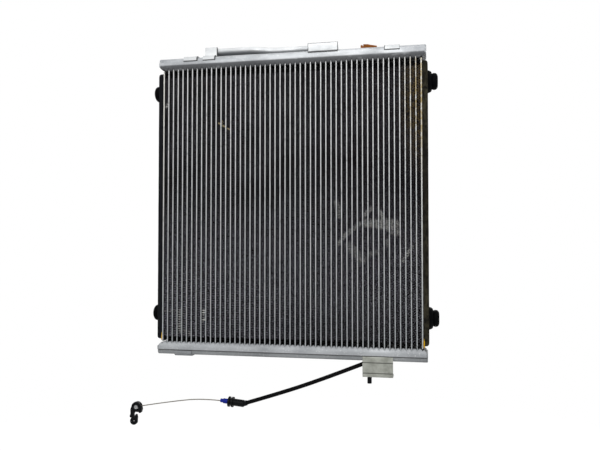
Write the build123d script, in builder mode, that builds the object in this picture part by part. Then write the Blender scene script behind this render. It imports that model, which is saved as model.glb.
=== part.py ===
from build123d import *
import math
import os

# Hydraulic oil cooler: a flat-tube core between two header tanks, with rubber side isolators,
# foam edge strips, a brazed outlet pipe and a release cable held by the lower bracket.
# Millimetres, +Z up, +X to the right, the core's front faces -Y.
# The origin is the centre of the rectangle that the four isolators make, seen from the front,
# at mid depth of the core.

# Core
tube_count = 50
tube_pitch = 8.0
tube_thickness = 2.0
tube_depth = 34.0
tube_nose = 0.6
tube_reach = 4.0
core_height = 442.0
core_drop = 6.0
fin_recess = 0.9
fin_stock = 0.5
fin_folds = 6
fin_end_gap = 4.5
side_plate_thickness = 2.0
slot_clearance = 0.1

# Header plates: ridged channels that the tubes pass through
ridge_height = 4.5
ridge_crest = 2.8
plate_wall = 2.0
plate_base = 1.8
rim_height = 8.5
rim_corner = 6.0
header_margin = 3.8
header_overhang = 4.5
end_taper = 4.2

# Tanks
tank_height = 15.5
tank_wall = 1.6
tank_corner = 4.0
end_cap_thickness = 2.0
end_cap_chamfer = 0.8
baffle_thickness = 2.0

# Saddle clips and brackets on the tanks
clip_thickness = 2.2
clip_lip_gap = 0.2
upper_clip_width = 23.2
left_clip_x = -158.4
right_clip_x = 160.9
lower_clip_width = 28.5
lower_clip_x = -168.5
pipe_bracket_x = -127.4
pipe_bracket_width = 20.6
upstand_height = 17.5
upstand_thickness = 2.5
centre_bracket_x = 55.8
centre_bracket_width = 46.5
centre_bracket_rise = 10.7
centre_bracket_lip = 3.1
centre_bracket_foot = 23.5
bracket_sheet = 2.0
cable_bracket_x = 138.2
cable_bracket_width = 45.2
cable_bracket_drop = 23.5
cable_bracket_web = 3.0
cable_bracket_flange = 15.0
groove_height = 1.2
groove_depth = 0.9
groove_drops = (2.1, 17.6)

# Side isolators and edge strips
isolator_spacing = 360.0
isolator_setback = 10.0
flange_radius = 17.1
flange_thickness = 6.4
knob_radius = 12.75
knob_length = 9.2
standoff_radius = 4.5
standoff_reach = 10.0
standoff_clearance = 0.3
foam_thickness = 2.4
strip_thickness = 5.6
strip_depth = 32.0
strip_lip = 1.6
strip_setback = 8.25
strip_shoulder = 4.0
foam_gap = 0.4

# Outlet pipe, ports and transit caps
pipe_radius = 6.0
pipe_rise = 11.0
outlet_block_width = 16.0
outlet_block_depth = 14.0
pipe_dip_x = -62.0
pipe_low_x = -28.0
pipe_shift = 3.0
pipe_turn_x = 40.0
pipe_end_x = 71.0
pipe_bend = 22.0
gentle_bend = 80.0
outlet_offset = 12.2
outlet_lift = 4.1
ferrule_radius = 6.9
ferrule_length = 12.5
spigot_radius = 8.0
spigot_length = 11.5
outlet_x = 109.2
outlet_bore = 4.8
cap_rim = 12.3
cap_rim_width = 3.0
cap_groove = 1.4
cap_flat_count = 12
cap_body = 11.5
cap_length = 26.0
cap_land = 1.0
cap_taper = 15.0
cap_clearance = 0.3
inlet_x = 188.0
inlet_drop = 8.5
boss_radius = 8.0
boss_length = 15.0
inlet_bore = 5.6
plug_flange_radius = 8.6
plug_flange_thickness = 2.4
plug_shank = 11.0
plug_grip = 5.0
plug_grip_radius = 4.5

# Release cable
conduit_radius = 3.1
wire_radius = 0.8
wire_clearance = 0.1
cable_inset = 6.4
cable_exit_x = -108.3
cable_exit_drop = 70.5
fitting_tilt = 5.0
wire_inside = 27.0
wire_bore_spare = 3.0
collar_nose_radius = 2.9
collar_nose_length = 4.6
collar_radius = 3.85
collar_length = 13.0
mouth_radius = 1.6
mouth_depth = 6.0
fitting_flange = 8.0
fitting_flange_width = 2.8
fitting_neck = 5.0
fitting_neck_width = 2.8
fitting_barrel = 5.5
fitting_length = 25.0
tail_radius = 4.1
tail_length = 5.0
anchor_width = 16.5
anchor_depth = 11.0
anchor_wall = 1.2
peg_radius = 3.3
peg_x = 125.3
peg_reach = 10.8
peg_clearance = 0.3
nipple_radius = 3.0
nipple_length = 9.0
ferrule_neck = 1.35
ferrule_reach = 7.0
hook_depth = 8.0
hook_clearance = 0.3
hook_swing = 20.0
hook_top = Vector(0.6, 0.3)
hook_top_radius = 6.2
hook_cheek = Vector(4.6, -7.8)
hook_cheek_radius = 3.4
hook_back = Vector(-7.6, -6.2)
hook_back_radius = 4.3
hook_neck = Vector(-9.4, -14.2)
hook_neck_radius = 2.3
hook_heel = Vector(-10.8, -17.4)
hook_heel_radius = 2.8
hook_ring = Vector(-6.4, -24.6)
hook_ring_radius = 5.2
hook_spur = Vector(-2.8, -15.0)
hook_spur_radius = 1.4
hook_mouth = Vector(0.2, -7.0)
hook_eye = Vector(-6.6, -25.4)
hook_eye_radius = 1.9

os.makedirs("parts", exist_ok=True)

# Planes and spans that several pieces share
core_width = tube_count * tube_pitch
header_depth = tube_depth + 2 * header_margin
side_x = core_width / 2 + tube_pitch / 2
entry_top = core_height / 2 - core_drop
entry_bottom = -core_height / 2 - core_drop
tank_half = header_depth / 2 - plate_wall
side_face = side_x + side_plate_thickness / 2
plate_half = side_face + header_overhang
foam_face = side_face + foam_thickness
strip_face = foam_face + strip_thickness
isolator_z = isolator_spacing / 2
isolator_places = [(isolator_setback, isolator_z), (isolator_setback, -isolator_z)]
knob_face = strip_face + flange_thickness + knob_length
tank_top_z = entry_top + tank_height
tank_bottom_z = entry_bottom - tank_height
outlet_y = tank_half + outlet_offset
outlet_z = tank_top_z + outlet_lift
cable_y = cable_inset - tank_half


def below(x, drop):
    """Point in the cable's plane, at x and that far below the lower tank."""
    return Vector(x, cable_y, tank_bottom_z - drop)


cable_exit = below(cable_exit_x, cable_exit_drop)
conduit_route = [below(-65.7, 72.3), below(-5.0, 52.7), below(58.0, 29.3), below(117.0, 4.9)]
wire_route = [below(-81.4, 72.85), below(-132.0, 68.42), below(-188.0, 75.5), below(-242.3, 85.7)]



def finish(piece, name):
    """Names a finished piece and writes it."""
    piece.part.label = name
    export_step(piece.part, f"parts/{name}.step")
    return piece.part


def yz(x):
    """Plane square to X at x: its first direction is +Y and its second +Z."""
    return Plane(origin=(x, 0, 0), x_dir=(0, 1, 0), z_dir=(1, 0, 0))


def xz(y):
    """Plane square to Y at y, facing the front: its first direction is +X and its second +Z."""
    return Plane(origin=(0, y, 0), x_dir=(1, 0, 0), z_dir=(0, -1, 0))


# ---------------------------------------------------------------- core
with BuildPart() as flat_tubes:
    with BuildSketch(Plane.XY.offset(entry_bottom - tube_reach)):
        with GridLocations(tube_pitch, 1, tube_count, 1):
            Rectangle(tube_thickness, tube_depth)
        chamfer(vertices(), tube_nose)
    extrude(amount=core_height + 2 * tube_reach)
finish(flat_tubes, "flat_tubes")

# One folded fin strip fills each bay, its folds meeting the tube on either side.
bay = tube_pitch - tube_thickness
fin_low = entry_bottom + ridge_height + fin_end_gap
fin_high = entry_top - ridge_height - fin_end_gap
fold_rise = (fin_high - fin_low) / fin_folds
fold_line = [
    ((bay - fin_stock) / 2 * (-1) ** fold, fin_low + fold * fold_rise) for fold in range(fin_folds + 1)
]
with BuildSketch(Plane.XY) as fin_strip:
    with BuildLine():
        Polyline(
            *[(x - fin_stock / 2, z) for x, z in fold_line],
            *[(x + fin_stock / 2, z) for x, z in reversed(fold_line)],
            close=True,
        )
    make_face()
with BuildPart() as fins:
    with BuildSketch(xz(-tube_depth / 2 + fin_recess)):
        with GridLocations(tube_pitch, 1, tube_count + 1, 1):
            add(fin_strip.sketch)
    extrude(amount=-(tube_depth - 2 * fin_recess))
finish(fins, "fins")

for name, side in (("side_plate_left", -1), ("side_plate_right", 1)):
    with BuildPart() as side_plate:
        with BuildSketch(Plane.XY.offset(entry_bottom + ridge_height)):
            with Locations((side * side_x, 0)):
                Rectangle(side_plate_thickness, tube_depth)
        extrude(amount=core_height - 2 * ridge_height)
    finish(side_plate, name)


# ---------------------------------------------------------------- headers
def rim_profile(entry, up):
    """Outer outline of a ridged header plate, square to X, opening away from the core."""
    half = header_depth / 2
    right = [
        (half, rim_height),
        (half, rim_corner - ridge_height),
        (half - rim_corner, -ridge_height),
    ]
    left = [(-y, h) for y, h in reversed(right)]
    return [(y, entry + up * h) for y, h in right + left]


def header_plate(entry, up):
    """Ridged plate with a slot for each tube and a rim round the tank's foot."""
    with BuildPart() as plate:
        with BuildSketch(yz(-plate_half)):
            with BuildLine():
                Polyline(*rim_profile(entry, up), close=True)
            make_face()
        extrude(amount=2 * plate_half)
        with BuildSketch(yz(-plate_half)):
            with Locations((0, entry + up * (plate_base + rim_height) / 2)):
                Rectangle(2 * tank_half, rim_height - plate_base)
        extrude(amount=2 * plate_half, mode=Mode.SUBTRACT)
        with BuildSketch(Plane.XY) as valley:
            with BuildLine():
                low = tube_thickness / 2 + slot_clearance
                high = (tube_pitch - ridge_crest) / 2
                Polyline((-low, 0), (low, 0), (high, -ridge_height), (-high, -ridge_height), close=True)
            make_face()
            if up < 0:
                mirror(about=Plane.XZ, mode=Mode.REPLACE)
        with BuildSketch(xz(-header_depth / 2)):
            with Locations((0, entry)):
                with GridLocations(tube_pitch, 1, tube_count, 1):
                    add(valley.sketch)
        extrude(amount=-header_depth, mode=Mode.SUBTRACT)
        with BuildSketch(Plane.XY.offset(entry)):
            with GridLocations(tube_pitch, 1, tube_count, 1):
                Rectangle(tube_thickness + 2 * slot_clearance, tube_depth + 2 * slot_clearance)
        extrude(amount=up * plate_base, mode=Mode.SUBTRACT)
        # The ends of the plate slope in towards the core.
        for side in (-1, 1):
            with BuildSketch(xz(-header_depth / 2)):
                with BuildLine():
                    Polyline(
                        (side * plate_half, entry - up * ridge_height),
                        (side * (plate_half - end_taper), entry - up * ridge_height),
                        (side * plate_half, entry + up * plate_base),
                        close=True,
                    )
                make_face()
            extrude(amount=-header_depth, mode=Mode.SUBTRACT)
    return plate.part


def tank_outline(z_foot, z_top):
    """Outline of a tank over its foot, square to X, with rounded outer corners."""
    with BuildSketch(Plane.XY) as outline:
        with Locations((0, (z_foot + z_top) / 2)):
            Rectangle(2 * tank_half, abs(z_top - z_foot))
        outer = vertices().sort_by(Axis.Y)[-2:] if z_top > z_foot else vertices().sort_by(Axis.Y)[:2]
        fillet(outer, tank_corner)
    return outline.sketch


def tank(entry, up):
    """Channel that closes the header, seated inside the plate's rim."""
    foot = entry + up * plate_base
    top = entry + up * tank_height
    with BuildPart() as channel:
        with BuildSketch(yz(-plate_half)):
            add(tank_outline(foot, top))
        extrude(amount=2 * plate_half)
        with BuildSketch(yz(-plate_half)):
            with Locations((0, (foot + top - up * tank_wall) / 2)):
                Rectangle(2 * (tank_half - tank_wall), abs(top - foot) - tank_wall)
        extrude(amount=2 * plate_half, mode=Mode.SUBTRACT)
    return channel.part


def end_caps(name, entry, up):
    """The two plates that close a header's ends."""
    foot = entry + up * plate_base
    top = entry + up * tank_height
    with BuildPart() as caps:
        for side in (-1, 1):
            with BuildSketch(yz(side * plate_half)):
                add(tank_outline(foot, top))
                with Locations((0, (foot + entry + up * rim_height) / 2)):
                    Rectangle(header_depth, rim_height - plate_base)
            extrude(amount=side * end_cap_thickness)
        chamfer(faces().sort_by(Axis.X)[0].edges() + faces().sort_by(Axis.X)[-1].edges(), end_cap_chamfer)
    return finish(caps, name)


inlet_z = tank_top_z - inlet_drop
with BuildPart() as header_plate_top:
    add(header_plate(entry_top, 1))
    with BuildSketch(xz(tank_half)):
        with Locations((inlet_x, inlet_z)):
            Circle(inlet_bore)
    extrude(amount=-plate_wall, mode=Mode.SUBTRACT)
finish(header_plate_top, "header_plate_top")

with BuildPart() as header_plate_bottom:
    add(header_plate(entry_bottom, -1))
finish(header_plate_bottom, "header_plate_bottom")

with BuildPart() as tank_top:
    add(tank(entry_top, 1))
    with BuildSketch(xz(tank_half - tank_wall)):
        with Locations((inlet_x, inlet_z)):
            Circle(inlet_bore)
    extrude(amount=-tank_wall, mode=Mode.SUBTRACT)
finish(tank_top, "tank_top")

with BuildPart() as tank_bottom:
    add(tank(entry_bottom, -1))
finish(tank_bottom, "tank_bottom")

end_caps("end_caps_top", entry_top, 1)
end_caps("end_caps_bottom", entry_bottom, -1)

# The baffle parts the top tank into an inlet half and an outlet half.
with BuildPart() as pass_baffle:
    with BuildSketch(yz(-baffle_thickness / 2)):
        with Locations((0, (entry_top + plate_base + tank_top_z - tank_wall) / 2)):
            Rectangle(2 * (tank_half - tank_wall), tank_height - plate_base - tank_wall)
    extrude(amount=baffle_thickness)
finish(pass_baffle, "pass_baffle")


# ---------------------------------------------------------------- clips and brackets on the tanks
def saddle(centre_x, width, entry, up):
    """Sheet saddle folded over a tank, its lips ending just short of the plate's rim."""
    top = entry + up * tank_height
    lip_end = entry + up * (rim_height + clip_lip_gap)
    outer_half = tank_half + clip_thickness
    with BuildPart() as clip:
        with BuildSketch(yz(centre_x - width / 2)):
            with Locations((0, (lip_end + top + up * clip_thickness) / 2)):
                Rectangle(2 * outer_half, abs(top - lip_end) + clip_thickness)
            ends = vertices().sort_by(Axis.Y)
            fillet(ends[-2:] if up > 0 else ends[:2], tank_corner + clip_thickness)
            add(tank_outline(lip_end, top), mode=Mode.SUBTRACT)
        extrude(amount=width)
    return clip.part


saddle_clips = (
    ("saddle_clip_left", left_clip_x, upper_clip_width, entry_top, 1),
    ("saddle_clip_right", right_clip_x, upper_clip_width, entry_top, 1),
    ("saddle_clip_bottom", lower_clip_x, lower_clip_width, entry_bottom, -1),
)
for name, centre_x, width, entry, up in saddle_clips:
    with BuildPart() as saddle_clip:
        add(saddle(centre_x, width, entry, up))
    finish(saddle_clip, name)

# The pipe bracket is a saddle with an upstand in front of the outlet block.
upstand_y = -pipe_radius - upstand_thickness
with BuildPart() as pipe_bracket:
    add(saddle(pipe_bracket_x, pipe_bracket_width, entry_top, 1))
    with BuildSketch(xz(upstand_y)):
        with Locations((pipe_bracket_x, tank_top_z + upstand_height / 2)):
            Rectangle(pipe_bracket_width, upstand_height)
    extrude(amount=-upstand_thickness)
    fillet(edges().filter_by(Axis.Y).group_by(Axis.Z)[-1], upstand_thickness / 2)
finish(pipe_bracket, "pipe_bracket")

# The centre bracket stands on the tank's front edge; its ends are folded back as gussets.
centre_top = tank_top_z + centre_bracket_rise
centre_front = -tank_half - bracket_sheet
centre_left = centre_bracket_x - centre_bracket_width / 2
with BuildPart() as centre_bracket:
    with BuildSketch(yz(centre_left)):
        with BuildLine():
            Polyline(
                (centre_front, tank_top_z - centre_bracket_lip),
                (-tank_half, tank_top_z - centre_bracket_lip),
                (-tank_half, tank_top_z),
                (centre_front + centre_bracket_foot, tank_top_z),
                (centre_front + centre_bracket_foot, tank_top_z + bracket_sheet),
                (-tank_half, tank_top_z + bracket_sheet),
                (-tank_half, centre_top),
                (centre_front, centre_top),
                close=True,
            )
        make_face()
    extrude(amount=centre_bracket_width)
    for gusset_x in (centre_left, centre_left + centre_bracket_width - bracket_sheet):
        with BuildSketch(yz(gusset_x)):
            with BuildLine():
                Polyline(
                    (-tank_half, tank_top_z + bracket_sheet),
                    (-tank_half, centre_top),
                    (-tank_half + centre_bracket_rise - bracket_sheet, tank_top_z + bracket_sheet),
                    close=True,
                )
            make_face()
        extrude(amount=bracket_sheet)
    fillet(edges().filter_by(Axis.X).sort_by(Axis.Z)[-2:], bracket_sheet / 3)
finish(centre_bracket, "centre_bracket")

# The cable bracket is an extruded profile on the lower tank's front, with two drip grooves
# and a bottom flange that carries the cable anchor.
bracket_front = -tank_half - cable_bracket_web
bracket_top_z = entry_bottom - rim_height - clip_lip_gap
bracket_bottom_z = tank_bottom_z - cable_bracket_drop
flange_back = -tank_half + cable_bracket_flange
with BuildPart() as cable_bracket:
    with BuildSketch(yz(cable_bracket_x - cable_bracket_width / 2)):
        with BuildLine():
            Polyline(
                (bracket_front, bracket_top_z),
                (-tank_half, bracket_top_z),
                (-tank_half, bracket_bottom_z + cable_bracket_web),
                (flange_back, bracket_bottom_z + cable_bracket_web),
                (flange_back, bracket_bottom_z),
                (bracket_front, bracket_bottom_z),
                close=True,
            )
        make_face()
        fillet(vertices().sort_by(Axis.X)[:2], cable_bracket_web / 2)
        with Locations(*[(bracket_front, tank_bottom_z - drop) for drop in groove_drops]):
            Rectangle(2 * groove_depth, groove_height, mode=Mode.SUBTRACT)
    extrude(amount=cable_bracket_width)
    with BuildSketch(Plane.XY.offset(bracket_bottom_z)):
        with Locations((peg_x, cable_y)):
            Circle(peg_radius + peg_clearance)
    extrude(amount=cable_bracket_web, mode=Mode.SUBTRACT)
finish(cable_bracket, "cable_bracket")

# ---------------------------------------------------------------- side strips and isolators
# Each strip is a channel whose lips close over the front and back edges of its backing.
strip_low = entry_bottom + strip_setback
strip_high = entry_top - strip_setback
foam_low = entry_bottom + ridge_height + foam_gap
for name, side in (("left", -1), ("right", 1)):
    with BuildPart() as foam:
        with BuildSketch(yz(side * side_face)):
            with Locations((0, (foam_low + strip_high) / 2)):
                Rectangle(strip_depth - 2 * strip_lip, strip_high - foam_low)
            with Locations(*isolator_places):
                RegularPolygon(standoff_radius + standoff_clearance, 6, mode=Mode.SUBTRACT)
        extrude(amount=side * foam_thickness)
    finish(foam, f"foam_backing_{name}")

    with BuildPart() as strip:
        with BuildSketch(yz(side * foam_face)):
            with Locations((0, (strip_low + strip_high) / 2)):
                Rectangle(strip_depth, strip_high - strip_low)
            with Locations(*isolator_places):
                RegularPolygon(standoff_radius + standoff_clearance, 6, mode=Mode.SUBTRACT)
        extrude(amount=side * strip_thickness)
        with BuildSketch(yz(side * side_face)):
            for edge in (-1, 1):
                with Locations((edge * (strip_depth - strip_lip) / 2, (strip_low + strip_high) / 2)):
                    Rectangle(strip_lip, strip_high - strip_low)
        extrude(amount=side * foam_thickness)
        outer_face = faces().sort_by(Axis.X)[0 if side < 0 else -1]
        fillet(outer_face.edges().filter_by(Axis.Y), strip_shoulder)
    finish(strip, f"edge_strip_{name}")

# A hexagonal standoff on the side plate, behind mid depth, goes through the strip and carries
# each isolator.
with BuildPart() as isolator_standoffs:
    for side in (-1, 1):
        with BuildSketch(yz(side * side_face)):
            with Locations(*isolator_places):
                RegularPolygon(standoff_radius, 6)
        extrude(amount=side * (strip_face + standoff_reach - side_face))
finish(isolator_standoffs, "isolator_standoffs")

# Rubber isolators: a flange against the strip and a round knob.
with BuildPart() as isolators:
    for side in (-1, 1):
        for start, end, radius in (
            (strip_face, strip_face + flange_thickness, flange_radius),
            (strip_face + flange_thickness, knob_face, knob_radius),
        ):
            with BuildSketch(yz(side * start)):
                with Locations(*isolator_places):
                    Circle(radius)
            extrude(amount=side * (end - start))
        with BuildSketch(yz(side * strip_face)):
            with Locations(*isolator_places):
                RegularPolygon(standoff_radius, 6)
        extrude(amount=side * standoff_reach, mode=Mode.SUBTRACT)
finish(isolators, "isolators")

# ---------------------------------------------------------------- outlet pipe, ports and caps
pipe_high_z = tank_top_z + pipe_rise
pipe_start_x = pipe_bracket_x + outlet_block_width / 2
pipe_low_z = tank_top_z + bracket_sheet + pipe_radius
with BuildPart() as outlet_block:
    with BuildSketch(Plane.XY.offset(tank_top_z + clip_thickness)):
        with Locations((pipe_bracket_x, outlet_block_depth / 2 - pipe_radius)):
            Rectangle(outlet_block_width, outlet_block_depth)
    extrude(amount=pipe_rise - clip_thickness + pipe_radius)
    fillet(edges().filter_by(Axis.X).group_by(Axis.Z)[-1], outlet_block_width / 8)
finish(outlet_block, "outlet_block")

with BuildPart() as outlet_pipe:
    with BuildLine() as pipe_line:
        FilletPolyline(
            (pipe_start_x, 0, pipe_high_z),
            (pipe_dip_x, 0, pipe_high_z),
            (pipe_low_x, pipe_shift, pipe_low_z),
            (pipe_turn_x, pipe_shift, pipe_low_z),
            (pipe_end_x, outlet_y, outlet_z),
            (outlet_x - ferrule_length, outlet_y, outlet_z),
            radius=[gentle_bend, gentle_bend, pipe_bend, pipe_bend],
        )
    with BuildSketch(yz(pipe_start_x)):
        with Locations((0, pipe_high_z)):
            Circle(pipe_radius)
    sweep(path=pipe_line.line)
finish(outlet_pipe, "outlet_pipe")

with BuildPart() as outlet_fitting:
    for start, length, radius in (
        (outlet_x - ferrule_length, ferrule_length, ferrule_radius),
        (outlet_x, spigot_length, spigot_radius),
    ):
        with BuildSketch(yz(start)):
            with Locations((outlet_y, outlet_z)):
                Circle(radius)
        extrude(amount=length)
    with BuildSketch(yz(outlet_x + spigot_length)):
        with Locations((outlet_y, outlet_z)):
            Circle(outlet_bore)
    extrude(amount=-spigot_length, mode=Mode.SUBTRACT)
finish(outlet_fitting, "outlet_fitting")

# The cap's tapered body has grip flats, and its bore clears the spigot all round and at its end.
cap_start = outlet_x + cap_clearance
bore_radius = spigot_radius + cap_clearance
with BuildPart() as outlet_cap:
    for start, length, radius in (
        (cap_start, cap_rim_width, cap_rim),
        (cap_start + cap_rim_width, cap_groove, cap_body - cap_groove),
    ):
        with BuildSketch(yz(start)):
            with Locations((outlet_y, outlet_z)):
                Circle(radius)
        extrude(amount=length)
    with BuildSketch(yz(cap_start + cap_rim_width + cap_groove)):
        with Locations((outlet_y, outlet_z)):
            RegularPolygon(cap_body, cap_flat_count)
    extrude(amount=cap_length - cap_rim_width - cap_groove)
    tip = faces().sort_by(Axis.X)[-1]
    tapered = cap_length - cap_rim_width - cap_groove - cap_land
    narrowing = tapered * math.tan(math.radians(cap_taper))
    chamfer(tip.edges(), length=narrowing, length2=tapered, reference=tip)
    with BuildSketch(yz(cap_start)):
        with Locations((outlet_y, outlet_z)):
            Circle(bore_radius)
    extrude(amount=spigot_length, mode=Mode.SUBTRACT)
finish(outlet_cap, "outlet_cap")

# The inlet boss is welded to the back of the top header, its pad filling the step over the rim.
boss_y = header_depth / 2
with BuildPart() as inlet_boss:
    with BuildSketch(xz(boss_y)):
        with Locations((inlet_x, inlet_z)):
            Circle(boss_radius)
    extrude(amount=-boss_length)
    with BuildSketch(xz(tank_half)):
        with Locations((inlet_x, (entry_top + rim_height + tank_top_z - tank_corner) / 2)):
            Rectangle(2 * boss_radius, tank_height - rim_height - tank_corner)
    extrude(amount=-plate_wall)
    with BuildSketch(xz(tank_half)):
        with Locations((inlet_x, inlet_z)):
            Circle(inlet_bore)
    extrude(amount=-plate_wall - boss_length, mode=Mode.SUBTRACT)
finish(inlet_boss, "inlet_boss")

plug_y = boss_y + boss_length + cap_clearance
with BuildPart() as inlet_plug:
    with BuildSketch(Plane(origin=(inlet_x, plug_y, inlet_z), x_dir=(0, 1, 0), z_dir=(1, 0, 0))):
        with BuildLine():
            Polyline(
                (-plug_shank, 0),
                (-plug_shank, inlet_bore - cap_clearance),
                (0, inlet_bore - cap_clearance),
                (0, plug_flange_radius),
                (plug_flange_thickness, plug_flange_radius),
                (plug_flange_thickness, plug_grip_radius),
                (plug_flange_thickness + plug_grip, plug_grip_radius),
                (plug_flange_thickness + plug_grip, 0),
                close=True,
            )
        make_face()
    revolve(axis=Axis((inlet_x, 0, inlet_z), (0, 1, 0)))
finish(inlet_plug, "inlet_plug")


# ---------------------------------------------------------------- release cable
def bend_radii(route):
    """The largest tangent arc at each inner point of a route: 0.45 of its shorter run."""
    radii = []
    for before, corner, after in zip(route, route[1:], route[2:]):
        turn = (corner - before).get_angle(after - corner)
        shorter = min((corner - before).length, (after - corner).length)
        radii.append(0.45 * shorter / math.tan(math.radians(turn) / 2))
    return radii


def cord(name, route, radius):
    """Round tube along a route of straight runs joined by tangent arcs."""
    radii = bend_radii(route)
    with BuildPart() as tube:
        with BuildLine() as path:
            FilletPolyline(*route, radius=radii)
        with BuildSketch(Plane(origin=route[0], z_dir=route[1] - route[0])):
            Circle(radius)
        sweep(path=path.line)
    length = sum(edge.length for edge in path.line.edges())
    print(name, "radii", [round(bend, 1) for bend in radii], "length", round(length, 2))
    section = math.pi * radius**2
    print(name, "volume", round(tube.part.volume, 1), "section x length", round(section * length, 1))
    return finish(tube, name)


fitting_axis = Vector(
    math.cos(math.radians(fitting_tilt)), 0, -math.sin(math.radians(fitting_tilt))
)
fitting_plane = Plane(origin=cable_exit, x_dir=fitting_axis, z_dir=(0, -1, 0))
fitting_spin = Axis(cable_exit, fitting_axis)
wire_bore = wire_radius + wire_clearance
with BuildPart() as cable_collar:
    with BuildSketch(fitting_plane):
        with BuildLine():
            Polyline(
                (0, mouth_radius),
                (0, collar_nose_radius),
                (collar_nose_length, collar_nose_radius),
                (collar_nose_length, collar_radius),
                (collar_length, collar_radius),
                (collar_length, wire_bore),
                (mouth_depth, wire_bore),
                (mouth_depth, mouth_radius),
                close=True,
            )
        make_face()
    revolve(axis=fitting_spin)
finish(cable_collar, "cable_collar")

# Two flanges and the neck between them hold the fitting in a keyhole slot.
flange_one_end = collar_length + fitting_flange_width
neck_end = flange_one_end + fitting_neck_width
flange_two_end = neck_end + fitting_flange_width
barrel_end = collar_length + fitting_length
tail_axis = (conduit_route[1] - conduit_route[0]).normalized()
with BuildPart() as cable_end_fitting:
    with BuildSketch(fitting_plane):
        with BuildLine():
            Polyline(
                (collar_length, wire_bore),
                (collar_length, fitting_flange),
                (flange_one_end, fitting_flange),
                (flange_one_end, fitting_neck),
                (neck_end, fitting_neck),
                (neck_end, fitting_flange),
                (flange_two_end, fitting_flange),
                (flange_two_end, fitting_barrel),
                (barrel_end, fitting_barrel),
                (barrel_end, 0),
                (wire_inside + wire_bore_spare, 0),
                (wire_inside + wire_bore_spare, wire_bore),
                close=True,
            )
        make_face()
    revolve(axis=fitting_spin)
    with BuildSketch(Plane(origin=conduit_route[0], z_dir=tail_axis)):
        Circle(tail_radius)
    extrude(amount=-tail_length - tail_radius / 2)
finish(cable_end_fitting, "cable_end_fitting")

cord("cable_conduit", conduit_route, conduit_radius)
cord("inner_wire", wire_route, wire_radius)

# The anchor sits on the bracket's flange behind its web; its peg goes through the flange.
socket_at = conduit_route[-1]
socket_axis = (conduit_route[-1] - conduit_route[-2]).normalized()
socket_up = Vector(-socket_axis.Z, 0, socket_axis.X)
anchor_top_z = tank_bottom_z - anchor_wall
anchor_foot_z = bracket_bottom_z + cable_bracket_web
socket_top = socket_at + socket_up * ((anchor_top_z - socket_at.Z) / socket_up.Z)
socket_bottom = socket_at - socket_up * (conduit_radius + 2 * anchor_wall)
anchor_right = socket_at.X + anchor_width
with BuildPart() as cable_anchor:
    with BuildSketch(xz(-tank_half)):
        with BuildLine():
            Polyline(
                (socket_top.X, socket_top.Z),
                (anchor_right, anchor_top_z),
                (anchor_right, anchor_foot_z),
                (socket_bottom.X, anchor_foot_z),
                (socket_bottom.X, socket_bottom.Z),
                close=True,
            )
        make_face()
        fillet(vertices().sort_by(Axis.X)[-2:], anchor_wall)
    extrude(amount=-anchor_depth)
    with BuildSketch(xz(-tank_half + anchor_depth)):
        with Locations(((socket_bottom.X + anchor_right) / 2, (anchor_foot_z + socket_bottom.Z) / 2)):
            Rectangle(anchor_width / 2, anchor_width / 3)
    extrude(amount=2 * anchor_wall, mode=Mode.SUBTRACT)
    with BuildSketch(Plane.XY.offset(anchor_foot_z)):
        with Locations((peg_x, cable_y)):
            Circle(peg_radius)
    extrude(amount=-cable_bracket_web - peg_reach)
finish(cable_anchor, "cable_anchor")

# The wire ends in a barrel nipple with a short neck; the hook clip turns on the barrel.
wire_pull = (wire_route[-1] - wire_route[-2]).normalized()
nipple_centre = wire_route[-1] + wire_pull * ferrule_reach
nipple_plane = Plane(origin=nipple_centre, x_dir=(1, 0, 0), z_dir=(0, -1, 0))
with BuildPart() as wire_nipple:
    with BuildSketch(nipple_plane):
        Circle(nipple_radius)
    extrude(amount=nipple_length / 2, both=True)
    with BuildSketch(Plane(origin=nipple_centre, z_dir=-wire_pull)):
        Circle(ferrule_neck)
    extrude(amount=ferrule_reach)
finish(wire_nipple, "wire_nipple")


def arm(start, start_radius, end, end_radius):
    """Flat arm between two rounded ends."""
    with BuildSketch(Plane.XY) as shape:
        with Locations(start):
            Circle(start_radius)
        with Locations(end):
            Circle(end_radius)
        make_hull()
    return shape.sketch


jaw_bore = nipple_radius + hook_clearance
wire_slot = ferrule_neck + hook_clearance
wire_angle = math.degrees(math.atan2(-wire_pull.Z, -wire_pull.X))
with BuildPart() as cable_hook:
    with BuildSketch(nipple_plane):
        add(arm(hook_top, hook_top_radius, hook_back, hook_back_radius))
        add(arm(hook_top, hook_top_radius, hook_cheek, hook_cheek_radius))
        add(arm(hook_back, hook_back_radius, hook_neck, hook_neck_radius))
        add(arm(hook_neck, hook_neck_radius, hook_ring, hook_ring_radius))
        add(arm(hook_neck, hook_neck_radius, hook_heel, hook_heel_radius))
        add(arm(hook_ring, hook_ring_radius, hook_spur, hook_spur_radius))
        Circle(jaw_bore, mode=Mode.SUBTRACT)
        with Locations(hook_mouth):
            Rectangle(jaw_bore, -2 * hook_mouth.Y, mode=Mode.SUBTRACT)
        with Locations(hook_eye):
            Circle(hook_eye_radius, mode=Mode.SUBTRACT)
    extrude(amount=hook_depth / 2, both=True)
    with BuildSketch(nipple_plane):
        Circle(wire_slot)
        with PolarLocations(3 * jaw_bore, 2, wire_angle - hook_swing, 2 * hook_swing, endpoint=True):
            Circle(wire_slot)
        make_hull()
    extrude(amount=wire_slot, both=True, mode=Mode.SUBTRACT)
finish(cable_hook, "cable_hook")
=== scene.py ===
"""Look of a hydraulic oil cooler, built round its CAD frame.

Metres, +Z up, +X to the right, the core's front faces -Y. Every piece lies where its CAD node
does, as an object at the origin whose place is in its mesh. Lengths in the classes are in
millimetres, unless a class says otherwise.
"""

import logging
import math
from collections.abc import Iterable
from dataclasses import dataclass
from enum import Enum

import bmesh
import bpy
from mathutils import Matrix, Vector, noise

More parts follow.
